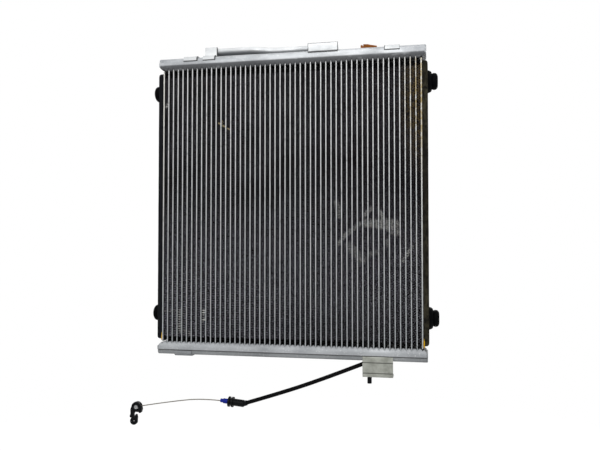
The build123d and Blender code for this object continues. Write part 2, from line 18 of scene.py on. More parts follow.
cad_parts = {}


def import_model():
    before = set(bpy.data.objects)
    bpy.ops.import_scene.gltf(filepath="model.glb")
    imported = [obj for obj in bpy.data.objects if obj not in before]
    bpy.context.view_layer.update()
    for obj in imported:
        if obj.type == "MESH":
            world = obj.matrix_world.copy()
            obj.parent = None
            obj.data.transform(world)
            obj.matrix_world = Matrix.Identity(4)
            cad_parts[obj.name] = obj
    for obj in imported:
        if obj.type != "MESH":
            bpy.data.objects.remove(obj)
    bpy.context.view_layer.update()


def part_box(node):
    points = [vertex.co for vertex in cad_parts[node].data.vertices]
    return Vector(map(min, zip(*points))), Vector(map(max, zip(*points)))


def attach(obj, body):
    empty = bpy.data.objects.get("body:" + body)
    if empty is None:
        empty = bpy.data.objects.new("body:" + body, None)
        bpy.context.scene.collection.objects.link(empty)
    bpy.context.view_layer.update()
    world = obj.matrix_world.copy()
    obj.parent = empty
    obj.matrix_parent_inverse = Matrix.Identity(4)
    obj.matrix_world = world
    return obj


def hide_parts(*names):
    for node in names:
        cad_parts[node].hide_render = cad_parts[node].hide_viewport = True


LOG = logging.getLogger("oil_cooler")
MM = 0.001

Colour = tuple[float, float, float, float]
Flat = tuple[float, float]
Point = tuple[float, float, float]
Node = bpy.types.Node
Socket = bpy.types.NodeSocket
Piece = bpy.types.Object
Mesh = bmesh.types.BMesh
Ring = list[bmesh.types.BMVert]


class Body(Enum):
    """The CAD bodies that pieces ride on."""

    COOLER = "cooler"
    CABLE_INNER = "cable_inner"
    HOOK_CLIP = "hook_clip"
    OUTLET_CAP = "outlet_transit_cap"
    INLET_PLUG = "inlet_transit_plug"


class Side(Enum):
    """The two sides of the core."""

    LEFT = -1
    RIGHT = 1


class HeaderEnd(Enum):
    """The two headers, with the way each one's tank stands from the core."""

    TOP = 1
    BOTTOM = -1


def linear(code: str) -> Colour:
    """Turns an sRGB hex value into a linear colour.

    Args:
        code: Six hex digits after a hash.

    Returns:
        Linear red, green and blue, and an alpha of 1.
    """
    parts = [int(code[i : i + 2], 16) / 255 for i in (1, 3, 5)]
    red, green, blue = (c / 12.92 if c <= 0.04045 else ((c + 0.055) / 1.055) ** 2.4 for c in parts)
    return (red, green, blue, 1.0)


class Graph:
    """A node tree, and the one way that a node is added to it."""

    def __init__(self, tree: bpy.types.NodeTree) -> None:
        """Takes a tree and empties it."""
        self.tree = tree
        tree.nodes.clear()

    def add(self, kind: str, inputs: dict | None = None, **settings: str | bool) -> Node:
        """Adds a node with its settings, its input values and its links.

        Args:
            kind: The node's type.
            inputs: Input name or number to a value, or to the output socket that feeds it.
            **settings: The node's own properties.

        Returns:
            The new node.
        """
        node = self.tree.nodes.new(kind)
        for name, value in settings.items():
            setattr(node, name, value)
        for key, value in (inputs or {}).items():
            if isinstance(value, Socket):
                self.tree.links.new(value, node.inputs[key])
            else:
                node.inputs[key].default_value = value
        return node


# ---------------------------------------------------------------- patterns
@dataclass(frozen=True)
class Pattern:
    """A factor from 0 to 1 that varies over a surface."""

    def on(self, coat: "Coat") -> Socket:
        """The pattern's factor on a coat."""
        raise NotImplementedError


@dataclass(frozen=True)
class Patches(Pattern):
    """Soft-edged patches, 0 where their noise is under low and 1 where it is over high.

    size is the rough size of a patch, stretch how many times longer it is along each axis, detail
    the number of finer layers, and offset slides the pattern, so that two layers differ.
    """

    size: float
    low: float
    high: float
    stretch: Point = (1, 1, 1)
    detail: float = 3.0
    offset: float = 0.0
    layer_share: float = 0.55

    def on(self, coat: "Coat") -> Socket:
        """Lays the patches.

        Args:
            coat: The coat that they are on.

        Returns:
            Their factor.
        """
        moved = {0: coat.millimetres(self.stretch), 1: (self.offset, self.offset, self.offset)}
        place = coat.add("ShaderNodeVectorMath", moved).outputs[0]
        look = {"Vector": place, "Scale": 1 / self.size, "Detail": self.detail, "Roughness": self.layer_share}
        field = coat.add("ShaderNodeTexNoise", look).outputs["Fac"]
        span = {"Value": field, "From Min": self.low, "From Max": self.high}
        return coat.add("ShaderNodeMapRange", span, clamp=True).outputs["Result"]


@dataclass(frozen=True)
class Zone(Pattern):
    """1 within inner of a point, falling to 0 at outer, longer along each axis by stretch."""

    centre: Point
    inner: float
    outer: float
    stretch: Point = (1, 1, 1)

    def on(self, coat: "Coat") -> Socket:
        """Lays the zone.

        Args:
            coat: The coat that it is on.

        Returns:
            Its factor.
        """
        middle = tuple(c / s for c, s in zip(self.centre, self.stretch))
        ends = {0: coat.millimetres(self.stretch), 1: middle}
        away = coat.add("ShaderNodeVectorMath", ends, operation="DISTANCE").outputs["Value"]
        span = {"Value": away, "From Min": self.outer, "From Max": self.inner}
        return coat.add("ShaderNodeMapRange", span, clamp=True, interpolation_type="SMOOTHSTEP").outputs["Result"]


@dataclass(frozen=True)
class Stroke(Pattern):
    """A line across and up the front: 1 within half of it, falling to 0 as far again."""

    start: Flat
    end: Flat
    half: float

    def on(self, coat: "Coat") -> Socket:
        """Lays the stroke.

        Args:
            coat: The coat that it is on.

        Returns:
            Its factor.
        """
        origin = (self.start[0], 0, self.start[1])
        run = (self.end[0] - self.start[0], 0, self.end[1] - self.start[1])
        square = run[0] ** 2 + run[2] ** 2
        slope = tuple(part / square for part in run)
        flat = coat.add("ShaderNodeVectorMath", {0: coat.millimetres(), 1: (1, 0, 1)}, operation="MULTIPLY")
        away = coat.add("ShaderNodeVectorMath", {0: flat.outputs[0], 1: origin}, operation="SUBTRACT").outputs[0]
        along = coat.add("ShaderNodeVectorMath", {0: away, 1: slope}, operation="DOT_PRODUCT").outputs["Value"]
        share = coat.add("ShaderNodeClamp", {"Value": along}).outputs[0]
        near = coat.add("ShaderNodeVectorMath", {0: run, "Scale": share}, operation="SCALE").outputs[0]
        gap = coat.add("ShaderNodeVectorMath", {0: away, 1: near}, operation="DISTANCE").outputs["Value"]
        span = {"Value": gap, "From Min": self.half * 2, "From Max": self.half}
        return coat.add("ShaderNodeMapRange", span, clamp=True).outputs["Result"]


@dataclass(frozen=True)
class Band(Pattern):
    """1 within half of a level along an axis, falling to 0 over fade."""

    axis: str
    centre: float
    half: float
    fade: float

    def on(self, coat: "Coat") -> Socket:
        """Lays the band.

        Args:
            coat: The coat that it is on.

        Returns:
            Its factor.
        """
        gap = coat.add("ShaderNodeMath", {0: coat.level(self.axis), 1: self.centre}, operation="SUBTRACT").outputs[0]
        away = coat.add("ShaderNodeMath", {0: gap}, operation="ABSOLUTE").outputs[0]
        span = {"Value": away, "From Min": self.half + self.fade, "From Max": self.half}
        return coat.add("ShaderNodeMapRange", span, clamp=True).outputs["Result"]


@dataclass(frozen=True)
class Rise(Pattern):
    """0 at one level along an axis and 1 at another."""

    axis: str
    start: float
    full: float

    def on(self, coat: "Coat") -> Socket:
        """The rise's factor."""
        span = {"Value": coat.level(self.axis), "From Min": self.start, "From Max": self.full}
        return coat.add("ShaderNodeMapRange", span, clamp=True).outputs["Result"]


@dataclass(frozen=True)
class Facing(Pattern):
    """0 to 1 as the surface turns to face a way, from one cosine to another."""

    way: Point
    start: float
    full: float

    def on(self, coat: "Coat") -> Socket:
        """Lays the turned faces.

        Args:
            coat: The coat that they are on.

        Returns:
            Their factor.
        """
        ends = {0: coat.add("ShaderNodeNewGeometry").outputs["Normal"], 1: self.way}
        turned = coat.add("ShaderNodeVectorMath", ends, operation="DOT_PRODUCT").outputs["Value"]
        span = {"Value": turned, "From Min": self.start, "From Max": self.full}
        return coat.add("ShaderNodeMapRange", span, clamp=True).outputs["Result"]


Factor = Pattern | Socket | float


class Coat(Graph):
    """A finish's material while its layers go on."""

    def __init__(self, finish: "Finish") -> None:
        """Makes the material with its plain shader.

        Args:
            finish: The finish that the material is of.
        """
        self.material = bpy.data.materials.new(finish.name)
        self.material.use_nodes = True
        super().__init__(self.material.node_tree)
        self.finish = finish
        self.base: Colour | Socket = linear(finish.colour)
        self.places: dict[Point, Socket] = {}
        self.made: dict[Pattern, Socket] = {}
        self.shader = self.add(
            "ShaderNodeBsdfPrincipled",
            {
                "Base Color": self.base,
                "Roughness": finish.roughness,
                "Metallic": finish.metallic,
                "Specular IOR Level": finish.specular,
            },
        )
        self.add("ShaderNodeOutputMaterial", {"Surface": self.shader.outputs["BSDF"]})

    def millimetres(self, stretch: Point = (1, 1, 1)) -> Socket:
        """Object coordinates in millimetres.

        Args:
            stretch: How many times longer a pattern is along each axis.

        Returns:
            The coordinate socket.
        """
        if stretch not in self.places:
            place = self.add("ShaderNodeTexCoord").outputs["Object"]
            scale = [1 / (MM * along) for along in stretch]
            self.places[stretch] = self.add("ShaderNodeMapping", {"Vector": place, "Scale": scale}).outputs["Vector"]
        return self.places[stretch]

    def level(self, axis: str) -> Socket:
        """The place along one axis in millimetres."""
        return self.add("ShaderNodeSeparateXYZ", {0: self.millimetres()}).outputs[axis]

    def factor(self, item: Factor) -> Socket | float:
        """Makes a pattern's factor once, and leaves a socket or a number as it is.

        Args:
            item: A pattern, a socket or a number.

        Returns:
            The socket or the number.
        """
        if not isinstance(item, Pattern):
            return item
        if item not in self.made:
            self.made[item] = item.on(self)
        return self.made[item]

    def over(self, colour: str, *factors: Factor) -> None:
        """Lays a colour over the coat by the product of its factors.

        Args:
            colour: The layer's colour.
            *factors: Patterns, sockets or numbers from 0 to 1.
        """
        share, *others = (self.factor(item) for item in factors)
        for other in others:
            share = self.add("ShaderNodeMath", {0: share, 1: other}, operation="MULTIPLY").outputs[0]
        layer = {0: share, 6: self.base, 7: linear(colour)}
        self.base = self.add("ShaderNodeMix", layer, data_type="RGBA").outputs[2]

    def lacquer(self, colour: str, shade_mask: Factor) -> None:
        """Paints a colour over the coat as painted shade, which hides the metal's shine too.

        Args:
            colour: The painted shade's colour.
            shade_mask: Where it is.
        """
        self.over(colour, shade_mask)
        shine = {"Value": self.factor(shade_mask), "To Min": self.finish.metallic, "To Max": 0.0}
        self.feed("Metallic", self.add("ShaderNodeMapRange", shine).outputs["Result"])

    def gloss(self, dulled: Factor, spread: float) -> None:
        """Makes the coat rougher by spread where a factor is 1.

        Args:
            dulled: Where it is rougher.
            spread: How much roughness is added.
        """
        rough = self.finish.roughness
        span = {"Value": self.factor(dulled), "To Min": rough, "To Max": min(1.0, rough + spread)}
        self.feed("Roughness", self.add("ShaderNodeMapRange", span).outputs["Result"])

    def relief(self, height: Factor, depth: float) -> None:
        """Raises the coat by a depth in millimetres where a factor is 1."""
        bump = {"Height": self.factor(height), "Strength": 1.0, "Distance": depth * MM}
        self.feed("Normal", self.add("ShaderNodeBump", bump).outputs["Normal"])

    def feed(self, name: str, socket: Socket) -> None:
        """Feeds one of the shader's inputs."""
        self.tree.links.new(socket, self.shader.inputs[name])


# ---------------------------------------------------------------- finishes
@dataclass(frozen=True)
class Finish:
    """A surface finish. Each kind of finish lays its own pattern over the plain shader."""

    name: str
    slot: str
    colour: str
    roughness: float
    metallic: float = 0.0
    specular: float = 0.5

    def material(self) -> bpy.types.Material:
        """Makes the finish's material the first time it is asked for.

        Returns:
            The material.
        """
        known = bpy.data.materials.get(self.name)
        if known:
            return known
        coat = Coat(self)
        self.lay(coat)
        coat.feed("Base Color", coat.base)
        return coat.material

    def lay(self, coat: Coat) -> None:
        """Lays the finish's pattern over its plain shader."""
        raise NotImplementedError


@dataclass(frozen=True)
class BrazedAluminium(Finish):
    """Furnace-brazed aluminium: a pale metal dulled by oxide clouds and chalky flux, with rolling lines.

    Rolling lines are about 0.1 mm apart and flux specks under a millimetre. Both are drawn coarser,
    so that they show.
    """

    oxide: str = "#9B9EA1"
    flux: str = "#D9DAD8"
    # The colour of painted shade, for dark lines at given levels and for faces turned a given way.
    shade_colour: str = "#3A3B3C"
    clouds: Patches = Patches(26.0, 0.36, 0.68, (2.2, 1, 1))
    specks: Patches = Patches(2.2, 0.6, 0.72, detail=2.0, offset=9.0)
    lines: Patches = Patches(0.9, 0.3, 0.7, (30, 1, 1), detail=2.0)
    chalk: float = 0.55
    shadow_lines: tuple[tuple[str, float], ...] = ()
    shadow_line_width: float = 0.5
    shadow_line_fade: float = 0.6
    shaded: tuple[Facing, ...] = ()
    shade: float = 0.85
    dulling: float = 0.18
    height: float = 0.03

    def lay(self, coat: Coat) -> None:
        """Lays the oxide clouds, the flux specks, painted shadow lines, painted shade on turned faces and the
        rolling lines.

        Args:
            coat: What they go on.
        """
        coat.over(self.oxide, self.clouds)
        coat.over(self.flux, self.specks, self.chalk)
        # Painted shadow lines at given levels, then painted shade on faces turned a given way.
        for axis, level in self.shadow_lines:
            coat.over(self.shade_colour, Band(axis, level, self.shadow_line_width, self.shadow_line_fade))
        for turned in self.shaded:
            coat.over(self.shade_colour, turned, self.shade)
        coat.gloss(self.clouds, self.dulling)
        coat.relief(self.lines, self.height)


@dataclass(frozen=True)
class ShadedPlateAluminium(BrazedAluminium):
    """Brazed aluminium of a header plate, with painted shade: black behind the ridges' front, and grey under the
    upper plate towards the core.
    """

    # Painted shade: black behind the ridges' front where the fins shade them, and grey under the upper plate near
    # the core.
    black: str = "#08080A"
    shade_grey: str = "#3C3D40"
    shade_grey_share: float = 0.92
    near: Rise = Rise("Z", 220.2, 218.2)
    upper: Rise = Rise("Z", 0.0, 10.0)
    shade_breakup: Patches = Patches(9.0, 0.0, 0.45, (3, 1, 1), offset=6.0)
    shade_mask: Band = Band("Y", 0.0, 12.5, 2.0)

    def lay(self, coat: Coat) -> None:
        """Lays the metal, a grey painted shade under the upper plate near the core, and black painted shade behind
        the ridges' edges.

        Args:
            coat: What they go on.
        """
        super().lay(coat)
        # Painted shade: grey under the upper plate near the core, then black behind the ridges' front.
        coat.over(self.shade_grey, self.near, self.upper, self.shade_breakup, self.shade_grey_share)
        coat.lacquer(self.black, self.shade_mask)


@dataclass(frozen=True)
class TubeAluminium(Finish):
    """Extruded tube, bright metal on its noses, black between them as painted shade between the fins, painted shade
    lower down, nicks and dried dirt.

    Its extrusion streaks are about 0.2 mm wide and are drawn 1.1 mm wide, so that they show.
    """

    lower_shade_grey: str = "#A4A8AA"
    nick: str = "#4A4B4C"
    dirt: str = "#9C8B60"
    black: str = "#0C0C0E"
    lower: Rise = Rise("Z", 160, -200)
    nicks: Patches = Patches(1.8, 0.58, 0.68, (1, 1, 1.6), detail=2.0)
    nicked: float = 0.6
    edge: Zone = Zone((204, -17, 150), 12, 85, (0.45, 1, 1.6))
    stains: Patches = Patches(7.0, 0.36, 0.56, offset=4.0)
    shade_mask: Band = Band("Y", 0.0, 16.4, 0.3)
    streaks: Patches = Patches(1.1, 0.35, 0.7, (1, 1, 9))
    dulling: float = 0.2
    height: float = 0.05

    def lay(self, coat: Coat) -> None:
        """Lays the painted shade of the lower half, the nicks, the dirt of the upper right edge and the black
        painted shade between the noses.

        Args:
            coat: What they go on.
        """
        # Painted shade: darker and bluer towards the bottom.
        coat.over(self.lower_shade_grey, self.lower)
        coat.over(self.nick, self.nicks, self.nicked)
        coat.over(self.dirt, self.edge, self.stains)
        # Painted shade: black behind the noses, between the fins.
        coat.lacquer(self.black, self.shade_mask)
        coat.gloss(self.streaks, self.dulling)
        coat.relief(self.streaks, self.height)


@dataclass(frozen=True)
class FinLacquer(Finish):
    """Black dip lacquer on thin fin stock: satin black that holds grey dust on its folds.

    Settled dust grains are far under a millimetre. They are drawn 2.3 mm wide, as the clumps that show.
    """

    dust: str = "#7A7983"
    low_dust: str = "#A3A2AE"
    tinge: str = "#2C211D"
    brown_dust: str = "#5C4E34"
    scuff: str = "#D2D1CE"
    bleached: str = "#C9C9C6"
    bare_glint: str = "#F4F4F2"
    straw: str = "#C4B18A"
    shadow: str = "#020203"
    tinged: Patches = Patches(3.4, 0.52, 0.66, (1, 1, 0.8), detail=1.0, offset=17.0)
    tinging: float = 0.7
    grains: Patches = Patches(2.3, 0.44, 0.62, (1, 1, 0.8), detail=1.0)
    drifts: Patches = Patches(45.0, 0.25, 0.65, offset=3.0)
    dusting: float = 0.42
    low: Rise = Rise("Z", 10, -150)
    edge: Zone = Zone((204, -17, 150), 14, 85, (0.5, 1, 1.6))
    stains: Patches = Patches(5.0, 0.4, 0.6, offset=7.0)
    rubs: Patches = Patches(2.6, 0.4, 0.56, (1, 1, 0.8), detail=1.0, offset=12.0)
    front: Rise = Rise("Y", 0.0, -6.0)
    chips: Patches = Patches(1.5, 0.74, 0.78, detail=1.0, offset=21.0)
    chipped: float = 0.8
    ragged: Patches = Patches(3.2, 0.3, 0.6, (1.4, 1, 1), offset=30.0)
    raggedness: float = 0.65
    # Painted shadow where the fins end at the headers.
    ends: tuple[Rise, ...] = (Rise("Z", 199.0, 200.6), Rise("Z", -214.0, -215.6))
    rubbed: tuple[tuple[Stroke, float], ...] = (
        (Stroke((121.0, -36.0), (142.0, -37.5), 4.0), 0.81),
        (Stroke((142.0, -37.5), (163.0, -38.5), 5.0), 0.94),
        (Stroke((156.0, -44.0), (165.0, -50.0), 3.6), 0.88),
        (Stroke((118.0, -24.0), (128.7, -13.7), 2.2), 0.54),
        (Stroke((142.2, -18.3), (146.6, -30.4), 1.4), 1.0),
        (Stroke((110.5, -37.6), (89.2, -54.2), 2.2), 0.61),
        (Stroke((89.2, -54.2), (77.0, -69.3), 1.8), 0.81),
        (Stroke((95.3, -70.8), (114.9, -91.9), 4.2), 0.47),
        (Stroke((108.9, -91.9), (116.4, -93.4), 1.6), 0.68),
        (Stroke((127.0, -82.8), (137.5, -79.8), 2.4), 0.41),
        (Stroke((152.4, -63.3), (153.9, -69.3), 2.0), 0.47),
        (Stroke((175.9, -93.1), (189.2, -72.3), 1.7), 0.94),
        (Stroke((75.6, -3.9), (80.1, -25.3), 2.5), 0.47),
        (Stroke((-137.2, -174.0), (-137.0, -186.0), 1.6), 0.6),
        (Stroke((-203.2, 152.9), (-196.7, 158.3), 1.4), 1.0),
        (Stroke((-176.5, -175.8), (-176.3, -204.3), 3.6), 0.9),
        (Stroke((-166.3, -205.6), (-159.5, -210.2), 2.4), 0.68),
        (Stroke((-200.2, -174.7), (-186.6, -174.5), 1.2), 0.54),
    )
    # Bent fin edges: bare metal with a painted highlight.
    glinting_bends: tuple[Stroke, ...] = (
        Stroke((-137.0, -172.7), (-137.0, -177.6), 1.3),
        Stroke((-139.3, -189.4), (-135.2, -186.9), 1.4),
    )
    straws: tuple[Stroke, ...] = (
        Stroke((-112.8, 124.3), (-104.0, 119.0), 0.6),
        Stroke((-104.0, 119.0), (-93.8, 112.9), 0.5),
        Stroke((-106.5, 127.1), (-107.1, 117.2), 0.5),
    )
    dulling: float = 0.2

    def lay(self, coat: Coat) -> None:
        """Lays the dust, the brown dirt of the upper right edge, the scratches, the bent edges' bright metal with a
        painted highlight, the straw and the painted shadow at the ends.

        Args:
            coat: What they go on.
        """
        coat.over(self.tinge, self.tinged, self.tinging)
        coat.over(self.dust, self.grains, self.drifts, self.dusting)
        coat.over(self.low_dust, self.grains, self.low)
        coat.over(self.brown_dust, self.edge, self.stains)
        for stroke, share in self.rubbed:
            coat.over(self.scuff, stroke, self.rubs, self.front, share)
        # The bent edges' strokes are bare metal with a painted highlight.
        for strokes, colour in ((self.glinting_bends, self.bare_glint), (self.straws, self.straw)):
            for stroke in strokes:
                coat.over(colour, stroke, self.front)
        coat.over(self.bleached, self.chips, self.chipped)
        # Painted shadow at both ends of the fins, with a ragged edge.
        edge = {0: coat.factor(self.ragged), 1: self.raggedness}
        shadow_edge = coat.add("ShaderNodeMath", edge, operation="ADD", use_clamp=True).outputs[0]
        for end in self.ends:
            coat.over(self.shadow, end, shadow_edge)
        coat.gloss(self.grains, self.dulling)


@dataclass(frozen=True)
class ExtrudedAluminium(Finish):
    """Mill-finish extrusion: satin metal with die lines along its length and a few handling marks.

    Die lines are about 0.1 mm apart and are drawn 0.7 mm apart, so that they show.
    """

    tint: str = "#94968E"
    mark: str = "#6E6F6A"
    shade_colour: str = "#4C4D48"
    clouds: Patches = Patches(12.0, 0.4, 0.65)
    lines: Patches = Patches(0.7, 0.35, 0.65, (40, 1, 1), detail=2.0)
    marks: Patches = Patches(2.6, 0.66, 0.74, (2.5, 1, 1), offset=5.0)
    marked: float = 0.5
    grooves: tuple[float, ...] = ()
    groove_half: float = 0.5
    groove_shade: float = 0.8
    dulling: float = 0.15
    height: float = 0.03

    def lay(self, coat: Coat) -> None:
        """Lays a cloudy tint, the handling marks, painted shade in the grooves and the die lines.

        Args:
            coat: What they go on.
        """
        coat.over(self.tint, self.clouds)
        coat.over(self.mark, self.marks, self.marked)
        # Painted shade in the grooves.
        for groove in self.grooves:
            coat.over(self.shade_colour, Band("Z", groove, self.groove_half, self.groove_half), self.groove_shade)
        coat.gloss(self.lines, self.dulling)
        coat.relief(self.lines, self.height)


@dataclass(frozen=True)
class FoamTape(Finish):
    """Closed-cell foam tape: open pores, grey or brown with settled dust.

    The pores are about half a millimetre and are drawn nearly twice as wide, so that they show.
    """

    dust: str = "#4A473B"
    dusty: float = 0.5
    drifts: Patches = Patches(18.0, 0.35, 0.65, (1, 1, 2.5))
    mottle: Patches = Patches(3.2, 0.36, 0.62, (1, 1, 1.8), offset=8.0)
    pore: float = 0.9
    pore_depth: float = 0.25

    def lay(self, coat: Coat) -> None:
        """Lays the dust and the pores.

        Args:
            coat: What they go on.
        """
        coat.over(self.dust, self.drifts, self.mottle, self.dusty)
        pores = coat.add("ShaderNodeTexVoronoi", {"Vector": coat.millimetres(), "Scale": 1 / self.pore})
        coat.relief(pores.outputs["Distance"], self.pore_depth)


@dataclass(frozen=True)
class MouldedRubber(Finish):
    """Moulded black rubber: deep black, half matt, with a grey bloom and a spark-eroded grain.

    The grain is about 0.1 mm and is drawn 0.6 mm wide, so that it shows.
    """

    bloom: str = "#3A3B3C"
    blooms: Patches = Patches(9.0, 0.42, 0.72)
    bloomed: float = 0.6
    grain: Patches = Patches(0.6, 0.3, 0.7)
    dulling: float = 0.2
    height: float = 0.05

    def lay(self, coat: Coat) -> None:
        """Lays the bloom and the grain.

        Args:
            coat: What they go on.
        """
        coat.over(self.bloom, self.blooms, self.bloomed)
        coat.gloss(self.blooms, self.dulling)
        coat.relief(self.grain, self.height)


@dataclass(frozen=True)
class MouldedPlastic(Finish):
    """Injection-moulded plastic: even colour with faint flow clouds, scuffs and a mould grain.

    The grain is about 0.1 mm and is drawn 0.5 mm wide, so that it shows.
    """

    flow: str = "#000000"
    scuff: str = "#FFFFFF"
    clouds: Patches = Patches(8.0, 0.35, 0.7)
    clouded: float = 0.5
    scuffs: Patches = Patches(1.4, 0.62, 0.75, (3, 1, 1), offset=2.0)
    scuffed: float = 0.15
    grain: Patches = Patches(0.5, 0.3, 0.7)
    dulling: float = 0.12
    height: float = 0.03

    def lay(self, coat: Coat) -> None:
        """Lays the flow clouds, the scuffs and the grain.

        Args:
            coat: What they go on.
        """
        coat.over(self.flow, self.clouds, self.clouded)
        coat.over(self.scuff, self.scuffs, self.scuffed)
        coat.gloss(self.clouds, self.dulling)
        coat.relief(self.grain, self.height)


@dataclass(frozen=True)
class StrandedSteel(Finish):
    """Galvanised steel strand: grey zinc with the dark lay lines of its twisted wires.

    The wires are about 0.3 mm thick. Their lay lines are drawn wider, so that they show.
    """

    groove: str = "#4B4A46"
    lay_length: float = 2.4
    grooved: float = 0.8
    groove_depth: float = 0.1
    twist: float = 0.4

    def lay(self, coat: Coat) -> None:
        """Lays the slanting lines of the strands.

        Args:
            coat: What they go on.
        """
        look = {"Vector": coat.millimetres(), "Scale": 1 / self.lay_length, "Distortion": self.twist}
        waves = coat.add("ShaderNodeTexWave", look, bands_direction="DIAGONAL").outputs["Fac"]
        coat.over(self.groove, waves, self.grooved)
        coat.relief(waves, self.groove_depth)


@dataclass(frozen=True)
class PlatedMetal(Finish):
    """Cast or turned metal with a dull zinc plating, a little cloudy.

    The plating's grain is about 0.05 mm and is drawn 0.6 mm wide, so that it shows.
    """

    cloud: str = "#7C7E7E"
    clouds: Patches = Patches(4.0, 0.35, 0.7)
    grain: Patches = Patches(0.6, 0.3, 0.7)
    dulling: float = 0.15
    height: float = 0.03

    def lay(self, coat: Coat) -> None:
        """Lays the clouds and the grain of the plating.

        Args:
            coat: What they go on.
        """
        coat.over(self.cloud, self.clouds)
        coat.gloss(self.clouds, self.dulling)
        coat.relief(self.grain, self.height)


SHEET_CLOUDS = Patches(14.0, 0.36, 0.68, (2.2, 1, 1))
# Painted shade on faces turned to either side.
SHADED_SIDES = (Facing((1, 0, 0), 0.6, 0.9), Facing((-1, 0, 0), 0.6, 0.9))

# Tanks: a broad soft sheen, broken into lighter and duller clouds, with chalky specks.
UPPER_METAL = BrazedAluminium("furnace_brazed_aluminium", "brazed_aluminium", "#B9BCBF", 0.45, 0.25, oxide="#8C8F93")
# The lower tank: the same metal painted darker, as shade.
LOWER_METAL = BrazedAluminium(
    "shaded_brazed_aluminium", "brazed_aluminium", "#8E9193", 0.5, 0.2, oxide="#7B7E80", flux="#B9BAB8"
)
# Header plates: the same sheen, going smoky towards the core and black between the ridges, both as painted shade.
UPPER_PLATE = ShadedPlateAluminium("shaded_header_plate", "brazed_aluminium", "#BCBFC2", 0.45, 0.25, oxide="#8E9195")
# The lower plate: painted darker, as shade, with a painted shadow line where its rim meets the tank.
LOWER_PLATE = ShadedPlateAluminium(
    "brazed_header_plate", "brazed_aluminium", "#A9ACAF", 0.5, 0.2, oxide="#8F9295", shadow_lines=(("Z", -235.4),),
    shadow_line_width=0.6,
)
# Clips, block and fittings: bright, nearly white sheet, with a painted shadow line where it meets the tank, and
# painted shade along some side edges and on faces turned to either side.
SHEET_METAL = BrazedAluminium(
    "rolled_aluminium_sheet", "bracket_aluminium", "#D6D8D9", 0.4, 0.25, oxide="#BFC2C4", clouds=SHEET_CLOUDS,
    shadow_line_width=0.9, shadow_lines=(("Z", 224.1), ("X", -146.8), ("X", -117.1), ("X", 149.3)), shaded=SHADED_SIDES,
)
# Centre bracket: outlined by painted shadow lines, with painted shade on faces turned to either side.
CENTRE_SHEET = BrazedAluminium(
    "folded_aluminium_sheet", "bracket_aluminium", "#CDCFD0", 0.4, 0.25, oxide="#B4B7B9", clouds=SHEET_CLOUDS,
    shadow_line_width=0.8, shadow_lines=(("X", 32.4), ("X", 79.2), ("Z", 241.4), ("Z", 227.6)), shaded=SHADED_SIDES,
)
# Lower clip: a grey sheet painted a little darker than its tank, as shade, with two painted shadow lines across it.
LOWER_SHEET = BrazedAluminium(
    "shaded_aluminium_sheet", "bracket_aluminium", "#93969A", 0.5, 0.2, oxide="#7B7E80", flux="#B0B1AF",
    clouds=Patches(9.0, 0.36, 0.68, (2.2, 1, 1)), shadow_lines=(("Z", -235.4), ("Z", -244.8)),
)
# Pipe: bright along its top, with painted shade that falls to grey underneath.
PIPE_METAL = BrazedAluminium(
    "drawn_aluminium_pipe", "bracket_aluminium", "#DDDFE0", 0.35, 0.35, oxide="#C3C6C8", shade_colour="#4A4C50",
    clouds=SHEET_CLOUDS, shaded=(Facing((0, -0.5, -0.87), 0.1, 0.95),),
)
# Side plates and tubes: thin bright lines on black painted shade, painted darker and bluer lower down, as shade.
SIDE_METAL = TubeAluminium("brazed_side_plate", "brazed_aluminium", "#C9C8C2", 0.5, 0.3)
TUBE_METAL = TubeAluminium("extruded_tube_aluminium", "tube_aluminium", "#D2D3D3", 0.5, 0.3)
# Fins: a near-black satin grid, greyed by dust and scored by light scratches.
FIN_LACQUER = FinLacquer("black_dip_lacquer", "fin_black", "#0E0D11", 0.55, specular=0.08)
# Cable bracket: flat warm grey, with painted shade in its grooves.
BRACKET_METAL = ExtrudedAluminium(
    "mill_finish_extrusion", "bracket_aluminium", "#A0A29A", 0.45, 0.25, tint="#85877F", grooves=(-244.6, -260.1)
)
# Foam: a matt black edge, browned by dust on the right, and a warm yellow where the backing shows.
STRIP_FOAM_LEFT = FoamTape("black_foam_tape", "strip_foam_black", "#0F1014", 0.9, dust="#1E1F22", specular=0.1)
STRIP_FOAM_RIGHT = FoamTape(
    "dusty_foam_tape", "strip_foam_black", "#12110E", 0.9, dust="#3A372B", dusty=1.0, specular=0.1
)
BACKING_FOAM = FoamTape("yellow_backing_foam", "foam_yellow", "#E6B012", 0.9, dust="#A8861A", pore=0.6, specular=0.2)
# Isolators and conduit: dead black, with hardly a highlight.
ISOLATOR_RUBBER = MouldedRubber(
    "moulded_black_rubber", "black_rubber", "#030405", 0.6, bloom="#08090A", specular=0.03
)
CONDUIT_SHEATH = MouldedRubber(
    "extruded_cable_sheath", "black_rubber", "#030304", 0.5, bloom="#08080A", specular=0.05
)
# Cap and plug: a waxy burnt orange. Clip and fitting: smooth black. Collar: a strong deep blue.
CAP_PLASTIC = MouldedPlastic(
    "orange_polyethylene", "orange_plastic", "#94561E", 0.5, flow="#5E3412", scuff="#A8733C", specular=0.2
)
CLIP_PLASTIC = MouldedPlastic(
    "black_nylon", "black_plastic", "#050609", 0.35, flow="#030304", scuff="#24252B", specular=0.08
)
COLLAR_PLASTIC = MouldedPlastic(
    "blue_polypropylene", "blue_plastic", "#061F8C", 0.35, flow="#03114E", scuff="#2447B4", specular=0.15
)
# Wire: a dull grey thread with a dark twist. Nipple and posts: cool grey metal with small clear highlights.
WIRE_STEEL = StrandedSteel("galvanised_strand", "steel_wire", "#8B857A", 0.5, 0.35, groove="#4B4740", lay_length=1.2)
NIPPLE_ZINC = PlatedMetal("die_cast_zinc", "zinc", "#A9ABAC", 0.35, 0.7)
POST_STEEL = PlatedMetal("zinc_plated_steel", "plated_steel", "#B0B1AE", 0.35, 0.7)


